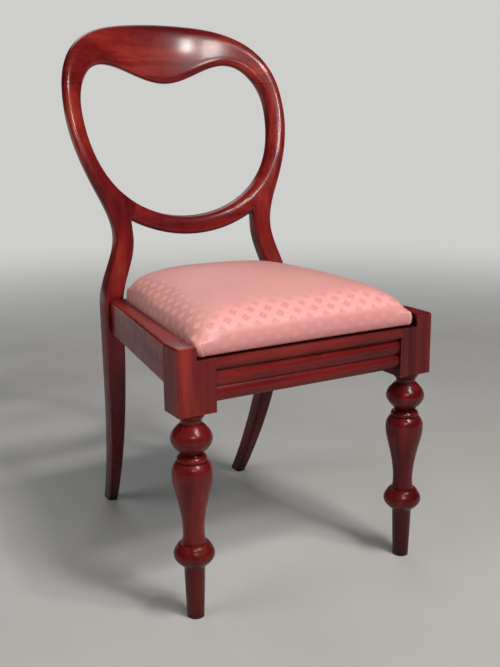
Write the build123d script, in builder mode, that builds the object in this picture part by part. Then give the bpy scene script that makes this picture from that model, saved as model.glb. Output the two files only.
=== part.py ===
from build123d import *
from math import atan2, cos, hypot, radians, sin, sqrt, tan
import os

os.makedirs("parts", exist_ok=True)

# Balloon back dining chair with a drop-in seat. X runs across it, Y from front to
# back and Z up. The floor is Z = 0, and the chair is symmetric about X = 0.
# All sizes are in millimetres.

# ---- Driving dimensions: seat rails and front legs --------------------------------
front_width = 437.0           # over the two front leg blocks
block_face_y = -265.8         # front face of the leg blocks
block_width = 58.5
block_depth = 46.0
block_bottom = 313.0
rail_top = 410.0              # side rails, and the ears of the leg blocks
seat_ledge = 390.5            # front rail top, and the rebates that carry the seat
ear_width = 29.0              # outer part of a leg block, which rises beside the seat

front_rail_bottom = 327.0
front_rail_thickness = 26.0
band_height = 13.5            # flat band along the top of the front rail
cove_height = 6.0
upper_bead_height = 23.5
cove_depth = 7.0
bead_setback = 3.0            # crest of each bead, behind the flat band

side_rail_bottom = 354.0
side_rail_back_half = 172.0   # outer face of a side rail at the rear leg, from X = 0
side_rail_back_land = 23.0    # top of a side rail beside the seat, at its back end
side_rail_ledge = 11.0        # width of the rebate under the seat
rail_round = 5.0              # worn outer top arris of a side rail and its leg block
block_round = 2.0             # front arrises of a leg block
block_bottom_round = 1.0

back_rail_bottom = 352.0
back_rail_top = 404.0
back_rail_thickness = 24.0
batten_depth = 16.0           # the batten carries the back edge of the seat
batten_height = 20.0

# Turned front leg: radii from the floor up, and the heights where they stand
peg_foot_radius = 11.2
peg_top_radius = 16.0
peg_height = 79.0
ring_radius = 30.3
ring_height = 100.0
ring_half_height = 17.0
ring_shoulder_radius = 20.0
vase_neck_radius = 14.5
vase_neck_height = 138.0
vase_radius = 28.6
vase_height = 219.0
vase_top_radius = 22.0
vase_top_height = 240.5
bead_radius = 21.5
bead_height = 245.5
ball_neck_radius = 16.5
ball_neck_height = 253.0
ball_radius = 30.3
ball_height = 275.0
collar_neck_radius = 16.3
collar_neck_height = 298.5
collar_radius = 19.5
collar_thickness = 7.0

# ---- Driving dimensions: rear legs and balloon --------------------------------------
waist_height = 512.0          # narrowest place of the back, above the seat
waist_half = 150.5
waist_width = 33.0
crotch_rise = 25.0            # from the waist to where the lower rail leaves the stile
opening_rise = 24.0           # from the waist to the bottom of the opening
opening_height = 257.5        # of the opening, up to its two shoulders
widest_rise = 204.0           # from the waist to the widest place of the balloon
widest_half = 207.5           # outline of the balloon there
opening_half = 177.5          # outline of the opening at the same height
shoulder_half = 118.0
dip_depth = 32.0              # of the crest's yoke, below the shoulders
joint_drop = 31.5             # from the shoulders to where the crest meets the stiles
crest_rise = 71.0             # from the shoulders to the top of the crest
lower_rail_height = 30.0      # at its middle
joint_rise = 40.0             # shoulder of the lower rail: its slope, as a rise ...
joint_lean = 16.0             # ... and how far inboard its top end lies
leg_half_at_rail = 179.5      # outer face of a rear leg at the seat
leg_width_at_rail = 33.0
foot_half = 147.0
foot_width = 17.0

rail_setback = 355.0          # front face of the rear legs, behind the block face
sabre_sweep = 114.0           # how far behind that the foot stands
sabre_power = 2.1
rake_start = 440.0            # the back starts to lean here ...
rake_end = 650.0              # ... and is straight above this
rake_angle = 19.0
bow_half = 200.0              # half the chord on which the bow in plan is measured
bow_at_crest = 52.0           # depth of the bow at the crest's top
bow_start = 393.0             # height where the bow begins
foot_depth = 31.0
leg_depth = 33.0
back_depth = 24.0
front_round = 6.0             # rounding of the front arrises of the back
back_round = 4.0

# ---- Driving dimensions: joinery ------------------------------------------------------
tenon_thickness = 10.0
tenon_shoulder = 6.0          # rail left above and below a tenon
front_tenon_length = 22.0
side_tenon_length = 20.0
back_tenon_length = 7.0
tenon_clearance = 0.2
dowel_diameter = 9.0
crest_dowel_inset = 6.5       # the stile is nearer the middle at the joint than below it
joint_middle = 0.45           # place of the dowel along the lower rail's shoulder
dowel_length = 44.0
dowel_clearance = 0.1
corner_block_length = 46.0    # along the rails
corner_block_height = 28.0
screw_diameter = 4.0
screw_head_diameter = 8.0
screw_head_height = 2.6
screw_length = 36.0

# ---- Driving dimensions: drop-in seat ---------------------------------------------------
seat_setback = 5.0            # front of the seat behind the block face
seat_side_clearance = 2.2
seat_back_gap = 7.0           # to the rear legs
seat_lift_gap = 1.2           # air between the bottom cloth and the ledges
cloth_thickness = 1.0
cover_thickness = 1.5
frame_thickness = 20.0
frame_width = 45.0
frame_inset = 3.2             # of the frame inside the seat's outline
seat_corner = 13.0
seat_crown = 57.0             # top of the cushion above the rails, at its middle
seat_rise = 19.0              # the pad is this much thicker at its back than its front
side_fullness = 3.0           # the seat's sides bow out to follow the rails
front_hollow = 1.5            # its front and back are drawn in between the corners
wall_height = 32.5            # side of the cushion, before it rounds over
crown_span = 150.0            # distance from the edge to the top of the crown
crown_turns = (0, 20, 40, 60, 78)  # steps round the crown's curve, in degrees
crown_round = 1.8             # exponents of that curve
crown_rise = 2.0
cover_turn_under = 22.0
webbing_width = 50.0
webbing_thickness = 2.0
webbing_count = 3
webbing_clear_inset = 9.6     # the webbing and hessian stay this far inside the edge
hessian_inset = 12.8
bottom_cloth_inset = 6.4
pad_gap = 0.3
hessian_thickness = 1.5
tack_head_radius = 2.5
tack_head_sides = 8
tack_head_height = 0.6
tack_length = 8.0
tack_inset = 14.0
tacks_per_side = 7

# ---- Worked out from these ------------------------------------------------------------
front_half = front_width / 2
leg_axis_x = front_half - block_width / 2
leg_axis_y = block_face_y + block_depth / 2
block_back_y = block_face_y + block_depth
leg_front_y = block_face_y + rail_setback
ear_inner = front_half - ear_width
front_rail_back_y = block_face_y + front_rail_thickness
back_rail_y = leg_front_y + 2.0
crotch_half = waist_half - waist_width
crotch_height = waist_height + crotch_rise
opening_bottom = waist_height + opening_rise
widest_height = waist_height + widest_rise
shoulder_height = opening_bottom + opening_height
dip_height = shoulder_height - dip_depth
crest_joint = shoulder_height - joint_drop
crest_top = shoulder_height + crest_rise
side_names = (("left", -1), ("right", 1))


def between(start, end, across, up):
    """The point that lies the given shares of the way from start to end."""
    return (
        start[0] + (end[0] - start[0]) * across,
        start[1] + (end[1] - start[1]) * up,
    )


def ease(value, low, high):
    """0 below low, 1 above high, and smooth in between."""
    share = min(max((value - low) / (high - low), 0.0), 1.0)
    return share * share * (3 - 2 * share)


def above_floor(edge):
    return edge.center().Z > 1


# ---- Rear legs, crest rail and lower rail ---------------------------------------------
# The four pieces are cut from one bowed and raked slab, so they meet flush.
def back_front_y(height):
    """Front face of the legs and the back, at the ends of the bow."""
    if height < rail_top:
        drop = (rail_top - height) / rail_top
        return leg_front_y + sabre_sweep * drop**sabre_power
    if height < rake_start:
        return leg_front_y
    radius = (rake_end - rake_start) / sin(radians(rake_angle))
    bend = min(height, rake_end) - rake_start
    straight = max(height - rake_end, 0.0)
    lean = radius - sqrt(radius**2 - bend**2)
    return leg_front_y + lean + straight * tan(radians(rake_angle))


def back_bow(height):
    """Depth of the bow in plan, at the middle of the back."""
    return bow_at_crest * max(height - bow_start, 0.0) / (crest_top - bow_start)


def back_thickness(height):
    """Depth of the legs and the back, front to back."""
    foot = foot_depth + (leg_depth - foot_depth) * ease(height, 0, rail_top / 3)
    return foot + (back_depth - foot) * ease(height, rake_start, crotch_height)


def back_y(x, height):
    """Front face of the back at any place on it."""
    bow_share = 1 - (x / bow_half) ** 2
    return back_front_y(height) + back_bow(height) * bow_share


slab_half = widest_half + 20
slab_leg_stations = [rail_top * step / 5 for step in range(5)]
slab_back_stations = [rail_top + (crest_top + 12 - rail_top) * step / 8 for step in range(9)]

with BuildPart() as back_slab:
    for height in slab_leg_stations + slab_back_stations:
        with BuildSketch(Plane.XY.offset(height)):
            with BuildLine():
                edge_y = back_y(slab_half, height)
                ridge_y = 2 * back_y(0, height) - edge_y
                depth = back_thickness(height)
                front = Bezier((-slab_half, edge_y), (0, ridge_y), (slab_half, edge_y))
                back = Bezier(
                    (-slab_half, edge_y + depth),
                    (0, ridge_y + depth),
                    (slab_half, edge_y + depth),
                )
                Line(front @ 1, back @ 1)
                Line(back @ 0, front @ 0)
            make_face()
    loft()

foot_outer = (foot_half, 0)
rail_outer = (leg_half_at_rail, rail_top - 10)
waist_outer = (waist_half, waist_height)
widest_outer = (widest_half, widest_height)
crest_outer = (0, crest_top)
foot_inner = (foot_half - foot_width, 0)
rail_inner = (leg_half_at_rail - leg_width_at_rail, rail_top - 10)
waist_inner = (crotch_half, waist_height)
crotch = (crotch_half, crotch_height)
lower_rail_low = (0, opening_bottom - lower_rail_height)
opening_low = (0, opening_bottom)
opening_side = (opening_half, widest_height)
shoulder = (shoulder_half, shoulder_height)
dip = (0, dip_height)
up, inward, outward = (0, 1), (-1, 0), (1, 0)

with BuildPart() as back_frame:
    with BuildSketch(Plane.XZ) as back_outline:
        with BuildLine():
            # outer outline, from the foot to the middle of the crest
            Spline(foot_outer, rail_outer, tangents=((0.1, 1), up))
            Spline(rail_outer, waist_outer, tangents=(up, up))
            Spline(
                waist_outer,
                between(waist_outer, widest_outer, 0.43, 0.38),
                widest_outer,
                tangents=(up, up),
            )
            Spline(
                widest_outer,
                between(widest_outer, crest_outer, 0.055, 0.48),
                between(widest_outer, crest_outer, 0.17, 0.71),
                between(widest_outer, crest_outer, 0.37, 0.89),
                between(widest_outer, crest_outer, 0.71, 0.98),
                crest_outer,
                tangents=(up, inward),
            )
            # foot, inner side of the leg, and the underside of the lower rail
            Line(foot_outer, foot_inner)
            Spline(foot_inner, rail_inner, tangents=((0.05, 1), up))
            Spline(rail_inner, waist_inner, tangents=(up, up))
            Line(waist_inner, crotch)
            TangentArc(lower_rail_low, crotch, tangent=outward)
            mirror(about=Plane.YZ)
        make_face()
        with BuildLine():
            # the opening: round below, with the crest's yoke dipping into it
            Spline(
                opening_low,
                between(opening_low, opening_side, 0.60, 0.17),
                between(opening_low, opening_side, 0.86, 0.44),
                opening_side,
                tangents=(outward, up),
            )
            Spline(
                opening_side,
                between(opening_side, shoulder, 0.25, 0.68),
                between(opening_side, shoulder, 0.60, 0.93),
                shoulder,
                tangents=(up, inward),
            )
            Spline(
                shoulder,
                between(shoulder, dip, 0.46, 0.46),
                dip,
                tangents=(inward, inward),
            )
            mirror(about=Plane.YZ)
        make_face(mode=Mode.SUBTRACT)
    extrude(amount=slab_half * 4, both=True)
    add(back_slab.part, mode=Mode.INTERSECT)
    front_skin, back_skin = faces().sort_by(SortBy.AREA)[-2:].sort_by(Axis.Y)
    fillet(front_skin.edges().filter_by(above_floor), radius=front_round)
    back_skin = faces().sort_by(SortBy.AREA)[-2:].sort_by(Axis.Y)[-1]
    fillet(back_skin.edges().filter_by(above_floor), radius=back_round)

# The crest rail is what stands above its joints, yoke and all. The lower rail ends in
# leaning shoulders that start at the crotches.
above_crest = crest_top + back_depth
yoke_clear_half = opening_half * 0.75
shoulder_top = (crotch_half - joint_lean * 2, crotch_height + joint_rise * 2)
below_rail = (crotch_half * 0.85, opening_bottom - lower_rail_height * 1.5)

with BuildPart() as crest_zone:
    with BuildSketch(Plane.XZ):
        with BuildLine():
            Polyline(
                (0, above_crest),
                (slab_half, above_crest),
                (slab_half, crest_joint),
                (yoke_clear_half, crest_joint),
                (yoke_clear_half, widest_height),
                (0, widest_height),
            )
            mirror(about=Plane.YZ)
        make_face()
    extrude(amount=slab_half * 4, both=True)

with BuildPart() as lower_rail_zone:
    with BuildSketch(Plane.XZ):
        with BuildLine():
            Polyline((0, shoulder_top[1]), shoulder_top, crotch, below_rail, (0, below_rail[1]))
            mirror(about=Plane.YZ)
        make_face()
    extrude(amount=slab_half * 4, both=True)

with BuildPart() as crest_rail:
    add(back_frame.part)
    add(crest_zone.part, mode=Mode.INTERSECT)

with BuildPart() as lower_rail:
    add(back_frame.part)
    add(lower_rail_zone.part, mode=Mode.INTERSECT)

# Dowels of the two crest joints and of the two shoulders of the lower rail
stile_middle = (widest_half + opening_half) / 2 - crest_dowel_inset
crest_dowel_y = back_y(stile_middle, crest_joint) + back_depth / 2
shoulder_x = crotch_half - joint_lean * joint_middle
shoulder_z = crotch_height + joint_rise * joint_middle
lower_dowel_y = back_y(shoulder_x, shoulder_z) + back_depth / 2
rake = radians(rake_angle)
crest_dowel_planes = [
    Plane(
        origin=(side * stile_middle, crest_dowel_y, crest_joint),
        x_dir=(1, 0, 0),
        z_dir=(0, sin(rake), cos(rake)),
    )
    for name, side in side_names
]
lower_dowel_planes = [
    Plane(
        origin=(side * shoulder_x, lower_dowel_y, shoulder_z),
        x_dir=(0, 1, 0),
        z_dir=(side * joint_rise, 0, joint_lean),
    )
    for name, side in side_names
]


def dowels(planes, length):
    """Round dowels with chamfered ends, centred on the given planes."""
    with BuildPart() as pins:
        with BuildSketch(*planes):
            Circle(dowel_diameter / 2)
        extrude(amount=length / 2, both=True)
        chamfer(edges().filter_by(GeomType.CIRCLE), length=1.0)
    return pins


def dowel_holes(planes, length):
    """The holes that such dowels fill, a little wider and deeper."""
    with BuildPart() as holes:
        with BuildSketch(*planes):
            Circle(dowel_diameter / 2 + dowel_clearance)
        extrude(amount=length / 2 + 1, both=True)
    return holes.part


crest_dowels = dowels(crest_dowel_planes, dowel_length)
lower_rail_dowels = dowels(lower_dowel_planes, dowel_length)

with BuildPart() as back_dowel_holes:
    add(dowel_holes(crest_dowel_planes, dowel_length))
    add(dowel_holes(lower_dowel_planes, dowel_length))

with crest_rail:
    add(back_dowel_holes.part, mode=Mode.SUBTRACT)
with lower_rail:
    add(back_dowel_holes.part, mode=Mode.SUBTRACT)


# ---- Seat rails --------------------------------------------------------------------------
def side_line(front_x, back_x, y):
    """X of a line in plan from the leg block's back to the rear leg's front, at y."""
    share = (y - block_back_y) / (leg_front_y - block_back_y)
    return front_x + (back_x - front_x) * share


land_back = side_rail_back_half - side_rail_back_land
ledge_front = ear_inner - side_rail_ledge
ledge_back = land_back - side_rail_ledge
tenon_front_x = (front_half + ledge_front) / 2
tenon_back_x = (side_rail_back_half + leg_half_at_rail - leg_width_at_rail) / 2


def box_between(low, high):
    """A block given by its lowest and highest corners."""
    with BuildPart() as block:
        with BuildSketch(Plane.XY.offset(low[2])):
            with Locations(((low[0] + high[0]) / 2, (low[1] + high[1]) / 2)):
                Rectangle(high[0] - low[0], high[1] - low[1])
        extrude(amount=high[2] - low[2])
    return block.part


def tenon(x_range, y_range, z_range, spare=0.0):
    """A tenon, or with spare the mortise for it."""
    low = (min(x_range) - spare, min(y_range) - spare, z_range[0] - spare)
    high = (max(x_range) + spare, max(y_range) + spare, z_range[1] + spare)
    return box_between(low, high)


def side_front_tenon(side, spare=0.0):
    middle = side * tenon_front_x
    return tenon(
        (middle - tenon_thickness / 2, middle + tenon_thickness / 2),
        (block_back_y - side_tenon_length, block_back_y + spare),
        (side_rail_bottom + tenon_shoulder, seat_ledge - tenon_shoulder),
        spare,
    )


def side_back_tenon(side, spare=0.0):
    middle = side * tenon_back_x
    return tenon(
        (middle - tenon_thickness / 2, middle + tenon_thickness / 2),
        (leg_front_y - 2, leg_front_y + side_tenon_length),
        (side_rail_bottom + tenon_shoulder, seat_ledge - tenon_shoulder),
        spare,
    )


def front_tenon(side, spare=0.0):
    block_inner = front_half - block_width
    middle = block_face_y + (cove_depth + front_rail_thickness) / 2
    return tenon(
        (side * (block_inner - 1), side * (block_inner + front_tenon_length)),
        (middle - tenon_thickness / 2, middle + tenon_thickness / 2),
        (front_rail_bottom + tenon_shoulder, seat_ledge - tenon_shoulder),
        spare,
    )


def back_tenon(side, spare=0.0):
    leg_inner = leg_half_at_rail - leg_width_at_rail
    middle = back_rail_y + back_rail_thickness / 2
    return tenon(
        (side * (leg_inner - 4), side * (leg_inner + back_tenon_length)),
        (middle - tenon_thickness / 2, middle + tenon_thickness / 2),
        (back_rail_bottom + tenon_shoulder, back_rail_top - tenon_shoulder),
        spare,
    )


def mirrored_if_left(side, points):
    return [(side * x, y) for x, y in points]


def make_side_rail(side):
    """Tapered in plan; the rebate carries the seat and the outer arris is worn round."""
    outer = [
        (front_half, block_back_y),
        (side_line(front_half, side_rail_back_half, back_rail_y), back_rail_y),
    ]
    land = [
        (side_line(ear_inner, land_back, back_rail_y), back_rail_y),
        (ear_inner, block_back_y),
    ]
    inner = [
        (side_line(ledge_front, ledge_back, back_rail_y), back_rail_y),
        (ledge_front, block_back_y),
    ]
    with BuildPart() as rail:
        with BuildSketch(Plane.XY.offset(side_rail_bottom)):
            Polygon(*mirrored_if_left(side, outer + inner), align=None)
        extrude(amount=seat_ledge - side_rail_bottom)
        with BuildSketch(Plane.XY.offset(seat_ledge)):
            Polygon(*mirrored_if_left(side, outer + land), align=None)
        extrude(amount=rail_top - seat_ledge)
        top_edges = faces().sort_by(Axis.Z)[-1].edges()
        long_edges = top_edges.filter_by(lambda e: e.length > leg_front_y / 2)
        fillet(long_edges.sort_by(lambda e: abs(e.center().X))[-1], radius=rail_round)
        add(back_frame.part, mode=Mode.SUBTRACT)
        add(side_front_tenon(side))
        add(side_back_tenon(side))
        add(screw_holes.part, mode=Mode.SUBTRACT)
    return rail


with BuildPart() as front_rail:
    rail_face = Plane(origin=(0, block_face_y, 0), x_dir=(0, 1, 0), z_dir=(1, 0, 0))
    cove_top = seat_ledge - band_height
    upper_bead_top = cove_top - cove_height
    lower_bead_top = upper_bead_top - upper_bead_height
    with BuildSketch(rail_face):
        with BuildLine():
            Polyline(
                (cove_depth, front_rail_bottom),
                (front_rail_thickness, front_rail_bottom),
                (front_rail_thickness, seat_ledge),
                (0, seat_ledge),
                (0, cove_top),
                (cove_depth * 0.6, cove_top),
            )
            RadiusArc((cove_depth * 0.6, cove_top), (cove_depth, upper_bead_top), -cove_height)
            ThreePointArc(
                (cove_depth, upper_bead_top),
                (bead_setback, (upper_bead_top + lower_bead_top) / 2),
                (cove_depth, lower_bead_top),
            )
            ThreePointArc(
                (cove_depth, lower_bead_top),
                (bead_setback, (lower_bead_top + front_rail_bottom) / 2),
                (cove_depth, front_rail_bottom),
            )
        make_face()
    extrude(amount=front_half - block_width, both=True)
    for name, side in side_names:
        add(front_tenon(side))

with BuildPart() as back_rail:
    with BuildSketch(Plane.XY.offset(back_rail_bottom)):
        with Locations((0, back_rail_y + back_rail_thickness / 2)):
            Rectangle(2 * (leg_half_at_rail - leg_width_at_rail / 2), back_rail_thickness)
    extrude(amount=back_rail_top - back_rail_bottom)
    add(back_frame.part, mode=Mode.SUBTRACT)
    fillet(edges().filter_by(Axis.X).group_by(Axis.Z)[-1], radius=2.0)
    for name, side in side_names:
        add(back_tenon(side))

batten_half = side_line(ledge_front, ledge_back, leg_front_y) - corner_block_length - 3
with BuildPart() as seat_batten:
    with BuildSketch(Plane.XY.offset(seat_ledge - batten_height)):
        with Locations((0, back_rail_y - batten_depth / 2)):
            Rectangle(2 * batten_half, batten_depth)
    extrude(amount=batten_height)
    chamfer(edges().filter_by(Axis.X).group_by(Axis.Y)[0].sort_by(Axis.Z)[0], length=3)


# ---- Legs ----------------------------------------------------------------------------
def outside_ear(edge):
    """True of the block's edges that run up the outside of its ear and over the top."""
    middle = edge.center()
    return abs(middle.X) > ear_inner + 1 and middle.Z > block_bottom + 1


def make_front_leg(side):
    """Turned below, square where the rails meet it, with an ear beside the seat."""
    axis_x = side * leg_axis_x
    with BuildPart() as leg:
        with BuildSketch(Plane(origin=(axis_x, leg_axis_y, 0), x_dir=(1, 0, 0), z_dir=(0, -1, 0))):
            with BuildLine():
                Polyline(
                    (0, block_bottom),
                    (0, 0),
                    (peg_foot_radius, 0),
                    (peg_top_radius, peg_height),
                    (ring_shoulder_radius - 1, ring_height - ring_half_height),
                )
                ThreePointArc(
                    (ring_shoulder_radius - 1, ring_height - ring_half_height),
                    (ring_radius, ring_height),
                    (ring_shoulder_radius, ring_height + ring_half_height),
                )
                Line(
                    (ring_shoulder_radius, ring_height + ring_half_height),
                    (ring_shoulder_radius - 2, ring_height + ring_half_height),
                )
                Spline(
                    (ring_shoulder_radius - 2, ring_height + ring_half_height),
                    (vase_neck_radius, vase_neck_height),
                    between(
                        (vase_neck_radius, vase_neck_height), (vase_radius, vase_height), 0.41, 0.53
                    ),
                    (vase_radius, vase_height),
                    (vase_top_radius, vase_top_height),
                    tangents=((-1, 1.6), (-1, 1)),
                )
                Line((vase_top_radius, vase_top_height), (bead_radius - 1.5, vase_top_height + 0.5))
                ThreePointArc(
                    (bead_radius - 1.5, vase_top_height + 0.5),
                    (bead_radius, bead_height),
                    (ball_neck_radius + 1.0, ball_neck_height - 2.0),
                )
                Line(
                    (ball_neck_radius + 1.0, ball_neck_height - 2.0),
                    (ball_neck_radius, ball_neck_height),
                )
                ThreePointArc(
                    (ball_neck_radius, ball_neck_height),
                    (ball_radius, ball_height),
                    (collar_neck_radius, collar_neck_height - 1.5),
                )
                Line(
                    (collar_neck_radius, collar_neck_height - 1.5),
                    (collar_neck_radius, block_bottom - collar_thickness - 2),
                )
                ThreePointArc(
                    (collar_neck_radius, block_bottom - collar_thickness - 2),
                    (collar_radius, block_bottom - collar_thickness / 2),
                    (collar_radius - 1, block_bottom),
                )
                Line((collar_radius - 1, block_bottom), (0, block_bottom))
            make_face()
        revolve(axis=Axis((axis_x, leg_axis_y, 0), (0, 0, 1)))
        with BuildSketch(Plane.XY.offset(block_bottom)):
            with Locations((axis_x, leg_axis_y)):
                Rectangle(block_width, block_depth)
        extrude(amount=seat_ledge - block_bottom)
        with BuildSketch(Plane.XY.offset(seat_ledge)):
            with Locations((side * (front_half - ear_width / 2), leg_axis_y)):
                Rectangle(ear_width, block_depth)
        extrude(amount=rail_top - seat_ledge)
        ear_edges = faces().sort_by(Axis.Z)[-1].edges().filter_by(Axis.Y)
        fillet(ear_edges.sort_by(lambda e: abs(e.center().X))[-1], radius=rail_round)
        front_face = faces().filter_by(Axis.Y).sort_by(Axis.Y)[0]
        fillet(front_face.edges().filter_by(outside_ear), radius=block_round)
        add(side_front_tenon(side, tenon_clearance), mode=Mode.SUBTRACT)
        add(front_tenon(side, tenon_clearance), mode=Mode.SUBTRACT)
    return leg


# A rear leg is one piece from the sabre foot to the crest joint, with its mortises.
with BuildPart() as rear_leg_left:
    add(back_frame.part)
    add(crest_zone.part, mode=Mode.SUBTRACT)
    add(lower_rail_zone.part, mode=Mode.SUBTRACT)
    split(bisect_by=Plane.YZ, keep=Keep.BOTTOM)
    add(back_dowel_holes.part, mode=Mode.SUBTRACT)
    add(side_back_tenon(-1, tenon_clearance), mode=Mode.SUBTRACT)
    add(back_tenon(-1, tenon_clearance), mode=Mode.SUBTRACT)

with BuildPart() as rear_leg_right:
    mirror(rear_leg_left.part, about=Plane.YZ)


# ---- Corner blocks and their screws -----------------------------------------------------
corner_block_bottom = seat_ledge - corner_block_height


def front_corner(side):
    """Five-sided: it is notched round the leg block."""
    inner = front_half - block_width
    along = block_back_y + corner_block_length
    return mirrored_if_left(
        side,
        [
            (inner - corner_block_length, front_rail_back_y),
            (inner, front_rail_back_y),
            (inner, block_back_y),
            (ledge_front, block_back_y),
            (side_line(ledge_front, ledge_back, along), along),
        ],
    )


def back_corner(side):
    corner_x = side_line(ledge_front, ledge_back, back_rail_y)
    along = back_rail_y - corner_block_length
    return mirrored_if_left(
        side,
        [
            (corner_x - corner_block_length, back_rail_y),
            (corner_x, back_rail_y),
            (side_line(ledge_front, ledge_back, along), along),
        ],
    )


front_corners = [front_corner(side) for name, side in side_names]
back_corners = [back_corner(side) for name, side in side_names]


def screw_planes_for(outline, side, toward_rail):
    """Two screws through the slanting face: one along Y, one along X."""
    slant_start, slant_end = outline[0], outline[-1]
    middle_z = corner_block_bottom + corner_block_height / 2
    first = between(slant_start, slant_end, 0.4, 0.4)
    second = between(slant_start, slant_end, 0.6, 0.6)
    sink = screw_head_diameter * 0.75
    return [
        Plane(
            origin=(first[0], first[1] + toward_rail * sink, middle_z + screw_head_diameter),
            x_dir=(1, 0, 0),
            z_dir=(0, toward_rail, 0),
        ),
        Plane(
            origin=(second[0] + side * sink, second[1], middle_z - screw_head_diameter),
            x_dir=(0, 1, 0),
            z_dir=(side, 0, 0),
        ),
    ]


screw_planes = []
for index, (name, side) in enumerate(side_names):
    screw_planes += screw_planes_for(front_corners[index], side, -1)
    screw_planes += screw_planes_for(back_corners[index], side, 1)

with BuildPart() as corner_block_screws:
    with BuildSketch(*screw_planes):
        Circle(screw_head_diameter / 2)
    extrude(amount=screw_head_height, taper=35)
    with BuildSketch(*screw_planes):
        Circle(screw_diameter / 2)
    extrude(amount=screw_length)

with BuildPart() as screw_holes:
    with BuildSketch(*screw_planes):
        Circle(screw_diameter / 2 + dowel_clearance)
    extrude(amount=screw_length + dowel_clearance)
    with BuildSketch(*screw_planes):
        Circle(screw_head_diameter / 2 + dowel_clearance)
    extrude(amount=screw_head_height + dowel_clearance)
    with BuildSketch(*screw_planes):
        Circle(screw_head_diameter / 2 + dowel_clearance)
    extrude(amount=-corner_block_length)


def make_corner_block(outline):
    with BuildPart() as block:
        with BuildSketch(Plane.XY.offset(corner_block_bottom)):
            Polygon(*outline, align=None)
        extrude(amount=corner_block_height)
        add(screw_holes.part, mode=Mode.SUBTRACT)
    return block


with front_rail:
    add(screw_holes.part, mode=Mode.SUBTRACT)
with back_rail:
    add(screw_holes.part, mode=Mode.SUBTRACT)


# ---- Drop-in seat ------------------------------------------------------------------------
seat_front_y = block_face_y + seat_setback
seat_back_y = leg_front_y - seat_back_gap
seat_front_half = ear_inner - seat_side_clearance
seat_back_half = land_back - seat_side_clearance
cloth_bottom = seat_ledge + seat_lift_gap
seat_bottom = cloth_bottom + cloth_thickness
frame_bottom = seat_bottom + cover_thickness
frame_top = frame_bottom + frame_thickness
wall_top = seat_bottom + wall_height
crown_top = rail_top + seat_crown


def seat_side_x(y):
    """Half the width of the seat's outline at y, without the fullness of its sides."""
    share = (y - seat_front_y) / (seat_back_y - seat_front_y)
    return seat_front_half + (seat_back_half - seat_front_half) * share


def seat_edges(inset, corner):
    """Outline of the seat in plan: four gentle arcs and four round corners."""
    front_y, back_y_in = seat_front_y + inset, seat_back_y - inset
    front_x, back_x = seat_side_x(front_y) - inset, seat_side_x(back_y_in) - inset
    length = hypot(back_x - front_x, back_y_in - front_y)
    step = (corner * (back_x - front_x) / length, corner * (back_y_in - front_y) / length)
    side_start = (front_x + step[0], front_y + step[1])
    side_end = (back_x - step[0], back_y_in - step[1])
    side_middle = ((front_x + back_x) / 2 + side_fullness, (front_y + back_y_in) / 2)

    def round_corner(start, point, end):
        middle = between(start, end, 0.5, 0.5)
        ThreePointArc(start, between(middle, point, 0.42, 0.42), end)

    def other(point):
        return (-point[0], point[1])

    front_end, back_start = (front_x - corner, front_y), (back_x - corner, back_y_in)
    ThreePointArc(other(front_end), (0, front_y + front_hollow), front_end)
    round_corner(front_end, (front_x, front_y), side_start)
    ThreePointArc(side_start, side_middle, side_end)
    round_corner(side_end, (back_x, back_y_in), back_start)
    ThreePointArc(back_start, (0, back_y_in - front_hollow), other(back_start))
    round_corner(other(back_start), (-back_x, back_y_in), other(side_end))
    ThreePointArc(other(side_end), other(side_middle), other(side_start))
    round_corner(other(side_start), (-front_x, front_y), other(front_end))


def crown_height(inset):
    """Height of the cushion's top surface, this far in from its edge."""
    edge = (1 - inset / crown_span) ** crown_round
    return wall_top + (crown_top - wall_top) * (1 - edge) ** (1 / crown_rise)


# Section of the cushion, as (inset, height): a wall that bellies a little, and the
# crown, which starts where the wall ends
wall_levels = [
    (1.2, seat_bottom),
    (0.2, seat_bottom + wall_height * 0.2),
    (-0.4, seat_bottom + wall_height * 0.65),
    (0.0, wall_top),
]
crown_insets = [crown_span * (1 - cos(radians(turn))) for turn in crown_turns]
crown_levels = [(inset, crown_height(inset)) for inset in crown_insets]
cushion_section = wall_levels + crown_levels[1:]


def section_inside(section, depth):
    """The same section, drawn inside the first by a depth measured square to it."""
    inside = []
    for index, (inset, height) in enumerate(section):
        before = section[max(index - 1, 0)]
        after = section[min(index + 1, len(section) - 1)]
        along = (after[0] - before[0], after[1] - before[1])
        length = hypot(*along)
        inside.append((inset + depth * along[1] / length, height - depth * along[0] / length))
    return inside


def seat_level(height):
    """The plane of the cushion at this height: level at its frame, tilted at its top."""
    share = min(max((height - frame_bottom) / (wall_top - frame_bottom), 0), 1)
    tilt = atan2(seat_rise, seat_back_y - seat_front_y) * share
    drop = (seat_front_y + seat_back_y) / 2 * tan(tilt)
    return Plane(origin=(0, 0, height - drop), x_dir=(1, 0, 0), z_dir=(0, -sin(tilt), cos(tilt)))


def crowned_solid(section, ruled=False):
    """A solid through the seat's outline at each level of a section."""
    with BuildPart() as solid:
        for inset, height in section:
            with BuildSketch(seat_level(height)):
                with BuildLine():
                    seat_edges(inset, seat_corner + max(inset, 0) * 0.12)
                make_face()
        loft(ruled=ruled)
    return solid.part


def seat_slab(inset, low, high):
    """A flat layer of the seat's outline."""
    with BuildPart() as slab:
        with BuildSketch(Plane.XY.offset(low)):
            with BuildLine():
                seat_edges(inset, seat_corner)
            make_face()
        extrude(amount=high - low)
    return slab.part


cover_inside = section_inside(cushion_section, cover_thickness)
pad_section = section_inside(cushion_section, cover_thickness + pad_gap)


def cut_below(section, height):
    """Start a section at this height, straight below its first point above it."""
    kept = [level for level in section if level[1] > height + 1]
    return [(kept[0][0], height)] + kept


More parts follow.
